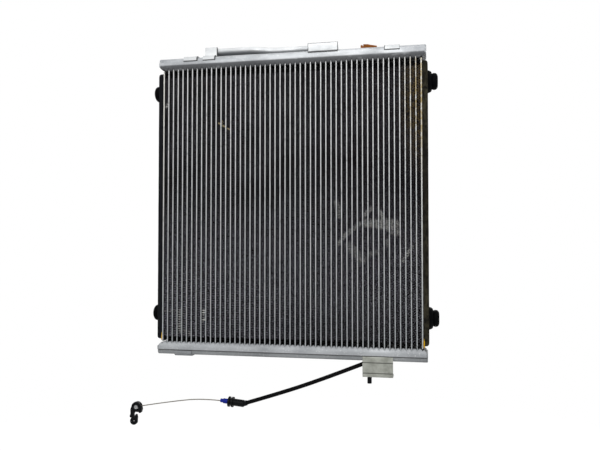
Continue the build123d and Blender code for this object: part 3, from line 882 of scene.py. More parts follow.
# ---------------------------------------------------------------- pieces
def seat(piece: Piece, finish: Finish, body: Body, *nodes: str) -> Piece:
    """Dresses a finished piece and puts it in the place of its CAD nodes.

    Args:
        piece: The piece, at the origin, with its place in its mesh.
        finish: What it is finished in.
        body: The body that it rides on.
        *nodes: The CAD nodes that it stands for.

    Returns:
        The piece.
    """
    piece.data.materials.clear()
    piece.data.materials.append(finish.material())
    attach(piece, body.value)
    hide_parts(*nodes)
    return piece


def new_object(name: str, data: bpy.types.ID) -> bpy.types.Object:
    """Makes an object at the origin, in the scene.

    Args:
        name: The object's name.
        data: Its mesh, curve, light or camera.

    Returns:
        The object.
    """
    thing = bpy.data.objects.new(name, data)
    bpy.context.scene.collection.objects.link(thing)
    return thing


def piece_from(bm: Mesh, name: str, smooth_angle: float = 35.0) -> Piece:
    """Makes an object from a closed bmesh, with smooth faces and sharp edges past an angle.

    Args:
        bm: The mesh, which is used up.
        name: The object's name.
        smooth_angle: The angle in degrees past which an edge stays sharp.

    Returns:
        The linked object.
    """
    bmesh.ops.recalc_face_normals(bm, faces=bm.faces)
    for face in bm.faces:
        face.smooth = True
    limit = math.radians(smooth_angle)
    for edge in bm.edges:
        edge.smooth = len(edge.link_faces) == 2 and edge.calc_face_angle(0.0) < limit
    mesh = bpy.data.meshes.new(name)
    bm.to_mesh(mesh)
    bm.free()
    return new_object(name, mesh)


def settle(piece: Piece) -> None:
    """Keeps what a piece's modifiers made as its plain mesh, and takes them off.

    Args:
        piece: The piece.
    """
    graph = bpy.context.evaluated_depsgraph_get()
    graph.update()
    mesh = bpy.data.meshes.new_from_object(piece.evaluated_get(graph), depsgraph=graph)
    piece.modifiers.clear()
    piece.data = mesh


def add_ring(bm: Mesh, points: Iterable[Point]) -> Ring:
    """Adds a ring of points given in millimetres."""
    return [bm.verts.new([part * MM for part in point]) for point in points]


def bridge(bm: Mesh, rings: list[Ring]) -> None:
    """Joins each closed ring of points to the next.

    Args:
        bm: The mesh that they are in.
        rings: The rings, in order, with as many points each.
    """
    for first, second in zip(rings, rings[1:]):
        for i, point in enumerate(first):
            j = (i + 1) % len(first)
            bm.faces.new((point, first[j], second[j], second[i]))


def loft(bm: Mesh, rings: list[Ring]) -> None:
    """Joins closed rings of points into a solid with flat ends.

    Args:
        bm: The mesh that they are in.
        rings: The rings, in order, with as many points each.
    """
    bridge(bm, rings)
    bm.faces.new(rings[0])
    bm.faces.new(rings[-1])


def turned(count: int) -> list[float]:
    """Evenly spaced turns round a circle, in radians."""
    return [2 * math.pi * i / count for i in range(count)]


@dataclass
class CarriedPart:
    """A CAD node carried over as a copy whose edges are broken as the real part's are."""

    node: str
    finish: Finish
    edge_radius: float = 0.35
    body: Body = Body.COOLER
    flat_limit: float = 30.0
    weld: float = 1e-6
    coplanar: float = 0.4

    def build(self) -> Piece:
        """Copies the node, merges its triangles and rounds its edges.

        Returns:
            The piece that stands for the node.
        """
        bm = bmesh.new()
        bm.from_mesh(bpy.data.objects[self.node].data)
        bmesh.ops.remove_doubles(bm, verts=bm.verts, dist=self.weld)
        bmesh.ops.dissolve_limit(bm, angle_limit=math.radians(self.coplanar), verts=bm.verts, edges=bm.edges)
        piece = piece_from(bm, f"{self.node}_dressed", self.flat_limit)
        if self.edge_radius:
            bevel = piece.modifiers.new("broken_edges", "BEVEL")
            bevel.width = self.edge_radius * MM
            bevel.segments = 2
            bevel.limit_method = "ANGLE"
            bevel.angle_limit = math.radians(self.flat_limit)
            bevel.harden_normals = True
        return seat(piece, self.finish, self.body, self.node)


def carried(*rows: tuple) -> list[Piece]:
    """Builds carried parts from rows of their fields."""
    return [CarriedPart(*row).build() for row in rows]


class Recipe(Graph):
    """A Geometry Nodes tree with named sizes, run once to make a plain mesh."""

    def __init__(self, name: str, sizes: dict[str, float | int]) -> None:
        """Starts the tree with its inputs and its output.

        Args:
            name: The tree's name.
            sizes: The tree's named inputs.
        """
        super().__init__(bpy.data.node_groups.new(name, "GeometryNodeTree"))
        self.sizes = sizes
        self.sockets = {}
        for size, value in sizes.items():
            kind = "NodeSocketInt" if isinstance(value, int) else "NodeSocketFloat"
            socket = self.tree.interface.new_socket(name=size, in_out="INPUT", socket_type=kind)
            self.sockets[size] = socket.identifier
        self.tree.interface.new_socket(name="Geometry", in_out="OUTPUT", socket_type="NodeSocketGeometry")
        self.inputs = self.add("NodeGroupInput").outputs

    def run(self, geometry: Socket, finish: Finish, name: str) -> Piece:
        """Ends the tree, runs it and keeps the result as a plain mesh.

        Args:
            geometry: The socket that carries the instances.
            finish: What the mesh is finished in.
            name: The object's name.

        Returns:
            The object, with no modifier.
        """
        real = self.add("GeometryNodeRealizeInstances", {"Geometry": geometry}).outputs[0]
        dressed = self.add("GeometryNodeSetMaterial", {"Geometry": real, "Material": finish.material()})
        self.add("NodeGroupOutput", {"Geometry": dressed.outputs[0]})
        holder = new_object(name, bpy.data.meshes.new(f"{name}_start"))
        modifier = holder.modifiers.new(self.tree.name, "NODES")
        modifier.node_group = self.tree
        for size, value in self.sizes.items():
            modifier[self.sockets[size]] = value
        settle(holder)
        holder.data.name = name
        return holder


@dataclass
class Core:
    """Tubes, folded fins and side plates."""

    bay_count: int = 51
    bay_pitch: float = 8.0
    bay_width: float = 6.0
    fin_low: float = -221.0
    fin_high: float = 206.0
    fin_depth: float = 32.2
    fold_count: int = 229
    fold_wave: float = -3.0
    stock: float = 0.22
    seed: int = 7

    def strip(self, recipe: Recipe) -> Socket:
        """One folded strip: a zigzag of fin stock, wavy along its depth.

        The wave keeps sight lines from going straight through.

        Args:
            recipe: The tree that it is made in.

        Returns:
            The socket that carries it.
        """
        sizes = recipe.inputs
        start = recipe.add("ShaderNodeCombineXYZ", {2: sizes["Lowest fold"]}).outputs[0]
        rise = recipe.add("ShaderNodeCombineXYZ", {2: sizes["Fold rise"]}).outputs[0]
        climb = {"Count": sizes["Fold points"], "Start Location": start, "Offset": rise}
        line = recipe.add("GeometryNodeMeshLine", climb).outputs[0]
        index = recipe.add("GeometryNodeInputIndex").outputs[0]
        odd = recipe.add("ShaderNodeMath", {0: index, 1: 2.0}, operation="MODULO").outputs[0]
        swing = recipe.add("ShaderNodeMath", {0: odd, 1: 2.0, 2: -1.0}, operation="MULTIPLY_ADD").outputs[0]
        reach = recipe.add("ShaderNodeMath", {0: swing, 1: sizes["Fold reach"]}, operation="MULTIPLY").outputs[0]
        aside = recipe.add("ShaderNodeCombineXYZ", {0: reach}).outputs[0]
        folded = recipe.add("GeometryNodeSetPosition", {"Geometry": line, "Offset": aside}).outputs[0]
        path = recipe.add("GeometryNodeMeshToCurve", {"Mesh": folded}).outputs[0]
        sheet = {"Width": sizes["Depth"], "Height": sizes["Stock"]}
        section = recipe.add("GeometryNodeCurvePrimitiveQuadrilateral", sheet).outputs[0]
        section = recipe.add("GeometryNodeSubdivideCurve", {"Curve": section, "Cuts": 1}).outputs[0]
        sweep = {"Curve": path, "Profile Curve": section, "Fill Caps": True}
        swept = recipe.add("GeometryNodeCurveToMesh", sweep).outputs[0]
        place = recipe.add("ShaderNodeSeparateXYZ", {0: recipe.add("GeometryNodeInputPosition").outputs[0]})
        across = recipe.add("ShaderNodeMath", {0: place.outputs["Y"]}, operation="ABSOLUTE").outputs[0]
        across = recipe.add("ShaderNodeMath", {0: across, 1: sizes["Depth"]}, operation="DIVIDE").outputs[0]
        lift = recipe.add("ShaderNodeMath", {0: across, 1: -2.0, 2: 1.0}, operation="MULTIPLY_ADD").outputs[0]
        lift = recipe.add("ShaderNodeMath", {0: lift, 1: sizes["Wave"]}, operation="MULTIPLY").outputs[0]
        lift = recipe.add("ShaderNodeCombineXYZ", {2: lift}).outputs[0]
        return recipe.add("GeometryNodeSetPosition", {"Geometry": swept, "Offset": lift}).outputs[0]

    def fins(self) -> Piece:
        """One strip copied into every bay, each slipped a little so that the folds don't line up.

        Real folds are finer. They are drawn fewer and wider, so that they show.

        Returns:
            The bank of fins.
        """
        recipe = Recipe(
            "folded_fin_strips",
            {
                "Bay count": self.bay_count,
                "Bay pitch": self.bay_pitch * MM,
                "Fold points": self.fold_count + 1,
                "Fold rise": (self.fin_high - self.fin_low) / self.fold_count * MM,
                "Fold reach": (self.bay_width - self.stock) / 2 * MM,
                "Lowest fold": self.fin_low * MM,
                "Depth": self.fin_depth * MM,
                "Stock": self.stock * MM,
                "Wave": self.fold_wave * MM,
            },
        )
        sizes = recipe.inputs
        gaps = recipe.add("ShaderNodeMath", {0: sizes["Bay count"], 1: 1.0}, operation="SUBTRACT").outputs[0]
        span = recipe.add("ShaderNodeMath", {0: gaps, 1: sizes["Bay pitch"]}, operation="MULTIPLY").outputs[0]
        half = recipe.add("ShaderNodeMath", {0: span, 1: -0.5}, operation="MULTIPLY").outputs[0]
        start = recipe.add("ShaderNodeCombineXYZ", {0: half}).outputs[0]
        pitch = recipe.add("ShaderNodeCombineXYZ", {0: sizes["Bay pitch"]}).outputs[0]
        row = {"Count": sizes["Bay count"], "Start Location": start, "Offset": pitch}
        bays = recipe.add("GeometryNodeMeshLine", row).outputs[0]
        draw = {2: 0.0, 3: 1.0, "Seed": self.seed}
        share = recipe.add("FunctionNodeRandomValue", draw, data_type="FLOAT").outputs[1]
        slip = recipe.add("ShaderNodeMath", {0: share, 1: sizes["Fold rise"]}, operation="MULTIPLY").outputs[0]
        slip = recipe.add("ShaderNodeCombineXYZ", {2: slip}).outputs[0]
        slipped = recipe.add("GeometryNodeSetPosition", {"Geometry": bays, "Offset": slip}).outputs[0]
        bank = {"Points": slipped, "Instance": self.strip(recipe)}
        copies = recipe.add("GeometryNodeInstanceOnPoints", bank).outputs[0]
        return seat(recipe.run(copies, FIN_LACQUER, "folded_fins"), FIN_LACQUER, Body.COOLER, "fins")

    def build(self) -> list[Piece]:
        """Builds the core's pieces.

        Returns:
            The pieces.
        """
        return [
            self.fins(),
            *carried(
                ("flat_tubes", TUBE_METAL, 0.0),
                ("side_plate_left", SIDE_METAL),
                ("side_plate_right", SIDE_METAL),
            ),
        ]


@dataclass
class Header:
    """One header: ridged plate, tank and end caps."""

    end: HeaderEnd
    entry: float
    plate_finish: Finish
    tank_finish: Finish
    bay_pitch: float = 8.0
    ridge_height: float = 4.5
    ridge_half: float = 3.9
    ridge_power: float = 1.7
    floor_height: float = 1.8
    rim_height: float = 8.5
    least_wall: float = 0.2
    corner: float = 6.0
    corner_rise: float = 9.0
    corner_steps: int = 6
    corner_power: float = 0.9
    half_depth: float = 20.8
    half_inside: float = 18.8
    half_length: float = 209.5
    end_taper: float = 4.2
    samples: int = 10

    def ridge(self, x: float) -> float:
        """Height of the rounded ridges over the entry plane.

        Args:
            x: The place along the header.

        Returns:
            The height, which falls away at the header's ends.
        """
        along = (x / self.bay_pitch + 0.5) % 1.0 - 0.5
        share = min(1.0, abs(along) * self.bay_pitch / self.ridge_half)
        height = self.ridge_height * math.sqrt(1.0 - share**self.ridge_power)
        past = abs(x) - (self.half_length - self.end_taper)
        if past > 0:
            height = min(height, self.ridge_height) - past / self.end_taper * (self.ridge_height + self.floor_height)
            height = max(height, self.least_wall - self.floor_height)
        return height

    def section(self, x: float) -> list[Flat]:
        """The plate's outline, square to X.

        Args:
            x: The place along the header.

        Returns:
            Depth and height away from the core of each point.
        """
        drop = self.ridge(x)
        outline = [(self.half_depth, self.rim_height), (self.half_depth, self.corner_rise - self.ridge_height)]
        for step in range(1, self.corner_steps + 1):
            turn = step / self.corner_steps * math.pi / 2
            y = self.half_depth - self.corner * (1 - math.cos(turn))
            full = self.corner_rise * (1 - math.sin(turn)) - self.ridge_height
            share = (step / self.corner_steps) ** self.corner_power
            outline.append((y, full * (1 - share) + max(full, -drop) * share))
        outline.append(((self.half_depth - self.corner) / 2, -drop))
        outline += [(-y, height) for y, height in reversed(outline)]
        inside = [(-self.half_inside, self.rim_height), (-self.half_inside, self.floor_height)]
        return outline + inside + [(-y, height) for y, height in reversed(inside)]

    def plate(self) -> Piece:
        """The ridged plate, with a rounded ridge over each fin bay and a groove at each tube.

        Returns:
            The plate.
        """
        bm = bmesh.new()
        step = self.bay_pitch / self.samples
        count = int(self.half_length / step)
        stations = [-self.half_length, *(i * step for i in range(-count, count + 1)), self.half_length]
        up = self.end.value
        loft(bm, [add_ring(bm, ((x, y, self.entry + up * h) for y, h in self.section(x))) for x in stations])
        name = self.end.name.lower()
        piece = piece_from(bm, f"ridged_plate_{name}", 50.0)
        return seat(piece, self.plate_finish, Body.COOLER, f"header_plate_{name}")

    def build(self) -> list[Piece]:
        """Builds the header's pieces.

        Returns:
            The pieces.
        """
        name = self.end.name.lower()
        nodes = [f"tank_{name}", f"end_caps_{name}"]
        if self.end is HeaderEnd.TOP:
            nodes.append("pass_baffle")
        return [self.plate(), *carried(*((node, self.tank_finish) for node in nodes))]


@dataclass
class Clips:
    """Saddle clips and brackets on the headers."""

    sheet_edge: float = 0.5
    bracket_edge: float = 0.3

    def build(self) -> list[Piece]:
        """Builds the clips and brackets.

        Returns:
            The pieces.
        """
        return carried(
            ("saddle_clip_left", SHEET_METAL, self.sheet_edge),
            ("saddle_clip_right", SHEET_METAL, self.sheet_edge),
            ("pipe_bracket", SHEET_METAL, self.sheet_edge),
            ("centre_bracket", CENTRE_SHEET, self.sheet_edge),
            ("saddle_clip_bottom", LOWER_SHEET, self.sheet_edge),
            ("cable_bracket", BRACKET_METAL, self.bracket_edge),
        )


@dataclass
class Ports:
    """Outlet pipe and fitting, inlet boss, and their transit caps."""

    cap_axis: Flat = (31.0, 234.6)
    cap_start: float = 109.5
    cap_length: float = 26.0
    rim_radius: float = 12.45
    rim_width: float = 3.0
    groove_width: float = 1.4
    body_radius: float = 12.3
    waist_radius: float = 11.2
    tip_radius: float = 6.4
    bore_radius: float = 8.3
    bore_depth: float = 11.5
    grips: int = 24
    grip_depth: float = 0.35
    turns: int = 144
    wing_turn: float = 128.0
    wing_half: float = 13.0
    wing_crest: float = 1.6
    wing_slope: float = 1.2

    def ring(self, bm: Mesh, x: float, radius: float, grip: float = 0.0, wing: float = 0.0) -> Ring:
        """A ring of points round the cap's axis, waved by its grips and drawn out to its thumb wing.

        Args:
            bm: The mesh that it is added to.
            x: Its place along the axis.
            radius: Its greatest radius beside the wing.
            grip: How deep the grips are here.
            wing: How far the wing stands out here.

        Returns:
            The ring.
        """
        points = []
        for turn in turned(self.turns):
            off = abs(math.degrees(turn) - self.wing_turn) / self.wing_half
            lifted = wing * max(0.0, min(1.0, self.wing_crest - self.wing_slope * off))
            r = radius - grip * (0.5 - 0.5 * math.cos(self.grips * turn)) + lifted
            across, up = (max(-self.rim_radius, min(self.rim_radius, r * f(turn))) for f in (math.cos, math.sin))
            points.append((x, self.cap_axis[0] + across, self.cap_axis[1] + up))
        return add_ring(bm, points)

    def outlet_cap(self) -> Piece:
        """The soft cap: a rolled rim, a groove, and a tapered grip body with a thumb wing and a rounded tip.

        Returns:
            The cap.
        """
        start, rim, grip = self.cap_start, self.rim_radius, self.grip_depth
        rim_end = start + self.rim_width
        body = rim_end + self.groove_width
        end = start + self.cap_length
        profile = [
            (start + self.bore_depth, self.bore_radius),
            (start, self.bore_radius),
            (start, self.bore_radius + 0.2),
            (start, rim - 0.5, 0, 1.8),
            (start + 0.5, rim, 0, 2.2),
            (rim_end - 0.5, rim, 0, 2.2),
            (rim_end, rim - 0.5, 0, 2.2),
            (rim_end + 0.1, self.body_radius - 1.4, 0, 2.0),
            (body - 0.1, self.body_radius - 1.4, 0, 2.0),
            (body, self.body_radius - 0.3, 0, 4.0),
            (body + 0.5, self.body_radius, grip, 4.6),
            (body + 7.0, self.waist_radius, grip, 5.2),
            (end - 1.2, self.tip_radius + 0.3, grip, 5.8),
            (end - 0.4, self.tip_radius - 0.2, 0, 5.2),
            (end, self.tip_radius - 1.2, 0, 3.6),
        ]
        bm = bmesh.new()
        loft(bm, [self.ring(bm, *station) for station in profile])
        piece = piece_from(bm, "outlet_transit_cap_orange", 40.0)
        return seat(piece, CAP_PLASTIC, Body.OUTLET_CAP, "outlet_cap")

    def build(self) -> list[Piece]:
        """Builds the ports' pieces.

        Returns:
            The pieces.
        """
        return [
            *carried(
                ("outlet_block", SHEET_METAL, 0.6),
                ("outlet_pipe", PIPE_METAL, 0.0),
                ("outlet_fitting", SHEET_METAL, 0.3),
            ),
            self.outlet_cap(),
            *carried(("inlet_boss", SHEET_METAL, 0.3), ("inlet_plug", CAP_PLASTIC, 0.4, Body.INLET_PLUG)),
        ]


@dataclass
class SideStrip:
    """Foam tape and backing on one side of the core."""

    side: Side
    finish: Finish
    side_face: float = 205.0
    backing: float = 2.4
    thickness: float = 8.8
    half_depth: float = 16.0
    lip: float = 1.6
    low: float = -218.75
    high: float = 206.75
    shoulder: float = 4.0
    bare_end: float = 9.0
    cell: float = 4.0
    end_steps: tuple[float, ...] = (0.5, 1.2, 2.4)
    unevenness: float = 0.3
    waves: Flat = (0.07, 0.05)
    ripple: float = 60.0
    edge_start: float = 0.8
    edge_share: float = 0.8
    flare: float = 1.11

    def outline(self, reach: float) -> list[tuple[Flat, Flat]]:
        """Pairs of outer and inner points round the tape's channel section.

        Args:
            reach: How far the section stands out from the side plate here.

        Returns:
            Outward and depth places of each pair, from the front lip to the back lip.
        """
        half, inner, floor = self.half_depth, self.half_depth - self.lip, self.backing
        front = [
            ((0.1, half - 0.1), (0.1, inner)),
            ((floor, half), (floor * 0.6, inner)),
            ((reach * 0.7, half), (floor, inner)),
            ((reach - 0.4, half - 0.15), (floor, inner - 0.4)),
            ((reach, half - 0.8), (floor, inner - 1.2)),
            ((reach, half * 0.5), (floor, half * 0.5)),
        ]
        mirrored = [((a, -b), (c, -d)) for (a, b), (c, d) in front]
        return [*mirrored, ((reach, 0.0), (floor, 0.0)), *reversed(front)]

    def uneven(self, out: float, depth: float, level: float, outer: bool) -> Point:
        """The place of one of the tape's points, pressed in a little by its unevenness.

        Args:
            out: How far the point stands out from the side plate.
            depth: Its place along Y.
            level: Its place along Z.
            outer: Whether it is on the tape's outer face.

        Returns:
            The point.
        """
        if level < self.low + self.bare_end:
            out = max(out, self.backing + (0.2 if outer else 0.1) * min(1.0, out))
        wave = noise.noise(Vector((depth * self.waves[0], level * self.waves[1], 3.0 * self.side.value))) * 0.5 + 0.5
        if outer and out > self.backing:
            out -= wave * self.unevenness
        if outer and abs(depth) > self.half_depth * self.edge_start:
            depth -= math.copysign(wave * self.unevenness * self.edge_share, depth)
        return (self.side.value * (self.side_face + out), depth, level)

    def tape(self) -> Piece:
        """The tape: a channel that closes over its backing, rounded off at its ends and slightly uneven.

        Returns:
            The tape.
        """
        count = round((self.high - self.low) / self.cell)
        levels = [self.low + (self.high - self.low) * i / count for i in range(count + 1)]
        for step in self.end_steps:
            levels += [self.low + step, self.high - step]
        bm = bmesh.new()
        rings = []
        for level in sorted(levels):
            from_end = min(level - self.low, self.high - level, self.shoulder)
            inset = self.shoulder - math.sqrt(self.shoulder**2 - (self.shoulder - from_end) ** 2)
            outer, inner = zip(*self.outline(self.thickness - inset))
            points = [self.uneven(*place, level, True) for place in outer]
            points += [self.uneven(*place, level, False) for place in reversed(inner)]
            rings.append(add_ring(bm, points))
        bridge(bm, rings)
        for ring in (rings[0], rings[-1]):
            for k in range(len(ring) // 2 - 1):
                bm.faces.new((ring[k], ring[k + 1], ring[-2 - k], ring[-1 - k]))
        name = self.side.name.lower()
        return self.soften(piece_from(bm, f"foam_tape_{name}", 60.0), self.finish, f"edge_strip_{name}")

    def soften(self, piece: Piece, finish: Finish, node: str) -> Piece:
        """Args:
            piece: The foam piece.
            finish: What it is finished in.
            node: The CAD node that it stands for.

        Returns:
            The piece.
        """
        soft = piece.modifiers.new("soft_edges", "SUBSURF")
        soft.levels = 1
        soft.render_levels = 1
        seat(piece, finish, Body.COOLER, node)
        return piece

    def slab(self, node: str, name: str, finish: Finish) -> Piece:
        """A soft slab in a node's box, with slightly uneven faces.

        Args:
            node: The CAD node whose space the slab fills.
            name: The object's name.
            finish: What it is finished in.

        Returns:
            The slab.
        """
        low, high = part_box(node)
        size = high - low
        bm = bmesh.new()
        bmesh.ops.create_cube(bm, size=1.0, matrix=Matrix.Translation((0.5, 0.5, 0.5)))
        for axis, normal in enumerate(Matrix.Identity(3)):
            count = max(2, round(size[axis] / (self.cell * MM)))
            for cut in range(1, count):
                geometry = [*bm.verts, *bm.edges, *bm.faces]
                bmesh.ops.bisect_plane(bm, geom=geometry, plane_co=normal * (cut / count), plane_no=normal)
        for vert in bm.verts:
            place = Vector(low[i] + vert.co[i] * size[i] for i in range(3))
            wobble = (noise.noise(place * self.ripple) * 0.5 + 0.5) * self.unevenness
            front = vert.co.y - 0.5
            place.y -= math.copysign(wobble * MM * self.edge_share, front) * min(1.0, abs(front) * 4)
            below = (self.low + self.bare_end - place.z / MM) / self.bare_end
            place.y *= 1 + (self.flare - 1) * max(0.0, min(1.0, 2 * below))
            vert.co = place
        return self.soften(piece_from(bm, name, 60.0), finish, node)

    def build(self) -> list[Piece]:
        """Builds the backing and the tape."""
        name = self.side.name.lower()
        return [self.slab(f"foam_backing_{name}", f"backing_foam_{name}", BACKING_FOAM), self.tape()]


@dataclass
class Isolators:
    """The four rubber isolators, turned to one profile."""

    flange_face: float = 213.0
    flange_radius: float = 17.1
    flange_width: float = 6.4
    knob_radius: float = 12.75
    knob_width: float = 9.2
    waist: float = 11.6
    spacing: float = 360.0
    setback: float = 10.0
    turns: int = 64

    def profile(self) -> list[Flat]:
        """The isolator's profile, from the strip outwards.

        Returns:
            Distance from the strip and radius of each point.
        """
        radius, flange, knob = self.flange_radius, self.flange_width, self.knob_radius
        end = flange + self.knob_width
        return [
            (0.0, radius - 0.4),
            (0.4, radius),
            (1.6, radius - 0.1),
            (flange - 2.2, radius - 1.2),
            (flange - 1.0, radius - 2.0),
            (flange - 0.3, radius - 3.2),
            (flange, self.waist + 0.9),
            (flange + 0.5, self.waist + 0.4),
            (flange + 1.2, knob - 0.6),
            (flange + 2.0, knob - 0.1),
            (flange + 3.0, knob),
            (end - 4.2, knob - 0.1),
            (end - 2.8, knob - 0.6),
            (end - 1.6, knob - 1.6),
            (end - 0.7, knob - 3.0),
            (end - 0.2, knob - 4.8),
            (end, knob - 6.4),
            (end, 5.0),
            (end - 1.2, 4.4),
            (end - 1.4, 2.0),
        ]

    def ring(self, bm: Mesh, x: float, level: float, radius: float) -> Ring:
        """A ring of points round an isolator's axis, at x along it, where the axis is at a level."""
        turns = turned(self.turns)
        return add_ring(bm, ((x, self.setback + radius * math.cos(t), level + radius * math.sin(t)) for t in turns))

    def build(self) -> list[Piece]:
        """Builds the isolators and their posts.

        Returns:
            The pieces.
        """
        bm = bmesh.new()
        for side in Side:
            for level in (-self.spacing / 2, self.spacing / 2):
                profile = [(side.value * (self.flange_face + out), level, radius) for out, radius in self.profile()]
                loft(bm, [self.ring(bm, *station) for station in profile])
        piece = piece_from(bm, "rubber_isolators", 50.0)
        return [
            seat(piece, ISOLATOR_RUBBER, Body.COOLER, "isolators"),
            *carried(("isolator_standoffs", POST_STEEL, 0.0)),
        ]


@dataclass
class HookClip:
    """The wire's hook clip, moulded in one round the nipple. Places are from the nipple's centre."""

    centre: Point = (-249.18, -12.4, -329.49)
    jaw_radii: Flat = (5.7, 5.4)
    eye_centre: Flat = (-4.9, -23.0)
    eye_radius: float = 3.8
    wire_turn: float = 10.6
    swing: float = 34.0
    slot_back: float = 1.2
    slot_half: float = 1.6
    slot_reach: float = 13.0
    bead_step: float = 0.6
    squareness: float = 0.62
    least_reach: float = 0.3
    voxel: float = 0.3

    def strokes(self) -> list[list[tuple[float, float, float, float]]]:
        """The clip's strokes: jaw, shank, eye, spur and web.

        Returns:
            The points of each, across and up, with their half width and half depth.
        """
        wide, tall = self.jaw_radii
        arch = [math.radians(turn) for turn in range(0, 181, 30)]
        jaw = [
            (6.0, -7.4, 2.3, 3.4),
            (6.4, -3.8, 2.7, 3.9),
            *((wide * math.cos(turn), tall * math.sin(turn), 2.6, 4.2) for turn in arch),
            (-6.9, -4.5, 3.2, 4.0),
            (-7.0, -9.0, 3.2, 3.4),
            (-7.6, -12.0, 2.7, 3.0),
            (-9.0, -15.2, 2.7, 2.8),
        ]
        shank = [(-7.6, -12.0, 2.6, 2.8), (-6.4, -16.8, 2.4, 2.6), (-4.9, -18.7, 2.4, 2.4)]
        x, z = self.eye_centre
        round_eye = [math.radians(turn) for turn in range(0, 361, 20)]
        eye = [(x + self.eye_radius * math.sin(t), z + self.eye_radius * math.cos(t), 2.5, 2.3) for t in round_eye]
        spur = [(-1.2, -20.4, 2.5, 2.3), (-0.6, -17.0, 2.2, 2.3), (-0.8, -13.6, 1.7, 2.1)]
        web = [(-3.4, -5.9, 2.5, 2.3), (3.4, -6.0, 2.5, 2.3)]
        return [jaw, shank, eye, spur, web]

    def place(self, across: float, depth: float, up: float) -> Vector:
        """A point near the nipple as a place in metres."""
        x, y, z = self.centre
        return Vector((x + across, y + depth, z + up)) * MM

    def bead(self, bm: Mesh, across: float, up: float, half: float, depth: float) -> None:
        """Adds one bead of a stroke: round from the front and squarish from the side.

        Args:
            bm: The mesh that it is added to.
            across: Its place across.
            up: Its place up.
            half: Its radius from the front.
            depth: Half its depth.
        """
        ball = bmesh.ops.create_icosphere(bm, subdivisions=3, radius=1.0)
        for vert in ball["verts"]:
            x, y, z = vert.co
            reach = math.hypot(x, z)
            out = half / max(reach, self.least_reach) * min(1.0, reach * 2)
            vert.co = self.place(across + x * out, math.copysign(abs(y) ** self.squareness, y) * depth, up + z * out)

    def body(self) -> Piece:
        """The strokes as overlapping beads.

        Returns:
            The rough clip.
        """
        bm = bmesh.new()
        for stroke in self.strokes():
            for start, end in zip(stroke, stroke[1:]):
                count = max(1, round(math.dist(start[:2], end[:2]) / self.bead_step))
                for i in range(count + 1):
                    self.bead(bm, *(a + (b - a) * i / count for a, b in zip(start, end)))
        return piece_from(bm, "hook_clip_moulded")

    def slot(self) -> Piece:
        """The fan-shaped slot that the wire swings in.

        Returns:
            The tool that cuts it.
        """
        bm = bmesh.new()
        fan = [(self.wire_turn, -self.slot_back)]
        fan += [(self.wire_turn + self.swing * share, self.slot_reach) for share in (-1, -0.5, 0, 0.5, 1)]
        flat = [(reach * math.cos(math.radians(turn)), reach * math.sin(math.radians(turn))) for turn, reach in fan]
        depths = (-self.slot_half, self.slot_half)
        loft(bm, [[bm.verts.new(self.place(across, depth, up)) for across, up in flat] for depth in depths])
        return piece_from(bm, "wire_slot_tool")

    def build(self) -> Piece:
        """Builds the clip as one skin with its slot cut.

        Returns:
            The clip.
        """
        piece, tool = self.body(), self.slot()
        skin = piece.modifiers.new("one_skin", "REMESH")
        skin.mode = "VOXEL"
        skin.voxel_size = self.voxel * MM
        skin.use_smooth_shade = True
        smooth = piece.modifiers.new("mould_radii", "SMOOTH")
        smooth.factor = 0.5
        smooth.iterations = 8
        cut = piece.modifiers.new("slot", "BOOLEAN")
        cut.operation = "DIFFERENCE"
        cut.solver = "EXACT"
        cut.object = tool
        settle(piece)
        bpy.data.objects.remove(tool)
        return seat(piece, CLIP_PLASTIC, Body.HOOK_CLIP, "cable_hook")


@dataclass(frozen=True)
class Cord:
    """A round cord on one smooth curve. Metres."""

    name: str
    points: tuple[Point, ...]
    diameter: float
    length: float

    def build(self, finish: Finish, body: Body, node: str, ends: list[Piece]) -> Piece:
        """Builds the cord.

        Args:
            finish: What it is finished in.
            body: The body that it rides on.
            node: The CAD node that it stands for.
            ends: The pieces that are on it. Not used.

        Returns:
            The curve object.
        """
        curve = bpy.data.curves.new(self.name, "CURVE")
        curve.dimensions = "3D"
        curve.resolution_u = 24
        curve.bevel_depth = self.diameter / 2
        curve.bevel_resolution = 6
        curve.use_fill_caps = True
        spline = curve.splines.new("NURBS")
        spline.points.add(len(self.points) - 1)
        for control, point in zip(spline.points, self.points):
            control.co = (*point, 1.0)
        spline.order_u = 3
        spline.use_endpoint_u = True
        cord = seat(new_object(self.name, curve), finish, body, node)
        return cord


@dataclass
class ReleaseCable:
    """Conduit, end fitting, inner wire and hook clip."""

    conduit: Cord = Cord(
        "cable_sheath",
        (
            (0.1170, -0.0124, -0.2474),
            (0.0580, -0.0124, -0.2718),
            (-0.0050, -0.0124, -0.2952),
            (-0.0657, -0.0124, -0.3148),
        ),
        0.0062,
        0.1948,
    )
    wire: Cord = Cord(
        "inner_wire_strand",
        (
            (-0.0814, -0.0124, -0.31535),
            (-0.1320, -0.0124, -0.31092),
            (-0.1880, -0.0124, -0.3180),
            (-0.2423, -0.0124, -0.3282),
        ),
        0.0016,
        0.1623,
    )

    def build(self) -> list[Piece]:
        """Builds the cable and what is on it.

        Returns:
            The pieces.
        """
        fitting, collar, nipple = carried(
            ("cable_end_fitting", CLIP_PLASTIC, 0.4),
            ("cable_collar", COLLAR_PLASTIC, 0.3),
            ("wire_nipple", NIPPLE_ZINC, 0.2, Body.CABLE_INNER),
        )
        hook = HookClip().build()
        anchor = CarriedPart("cable_anchor", CLIP_PLASTIC, 0.4).build()
        conduit = self.conduit.build(CONDUIT_SHEATH, Body.COOLER, "cable_conduit", [fitting, collar])
        wire = self.wire.build(WIRE_STEEL, Body.CABLE_INNER, "inner_wire", [nipple, hook])
        return [anchor, conduit, fitting, collar, wire, nipple, hook]


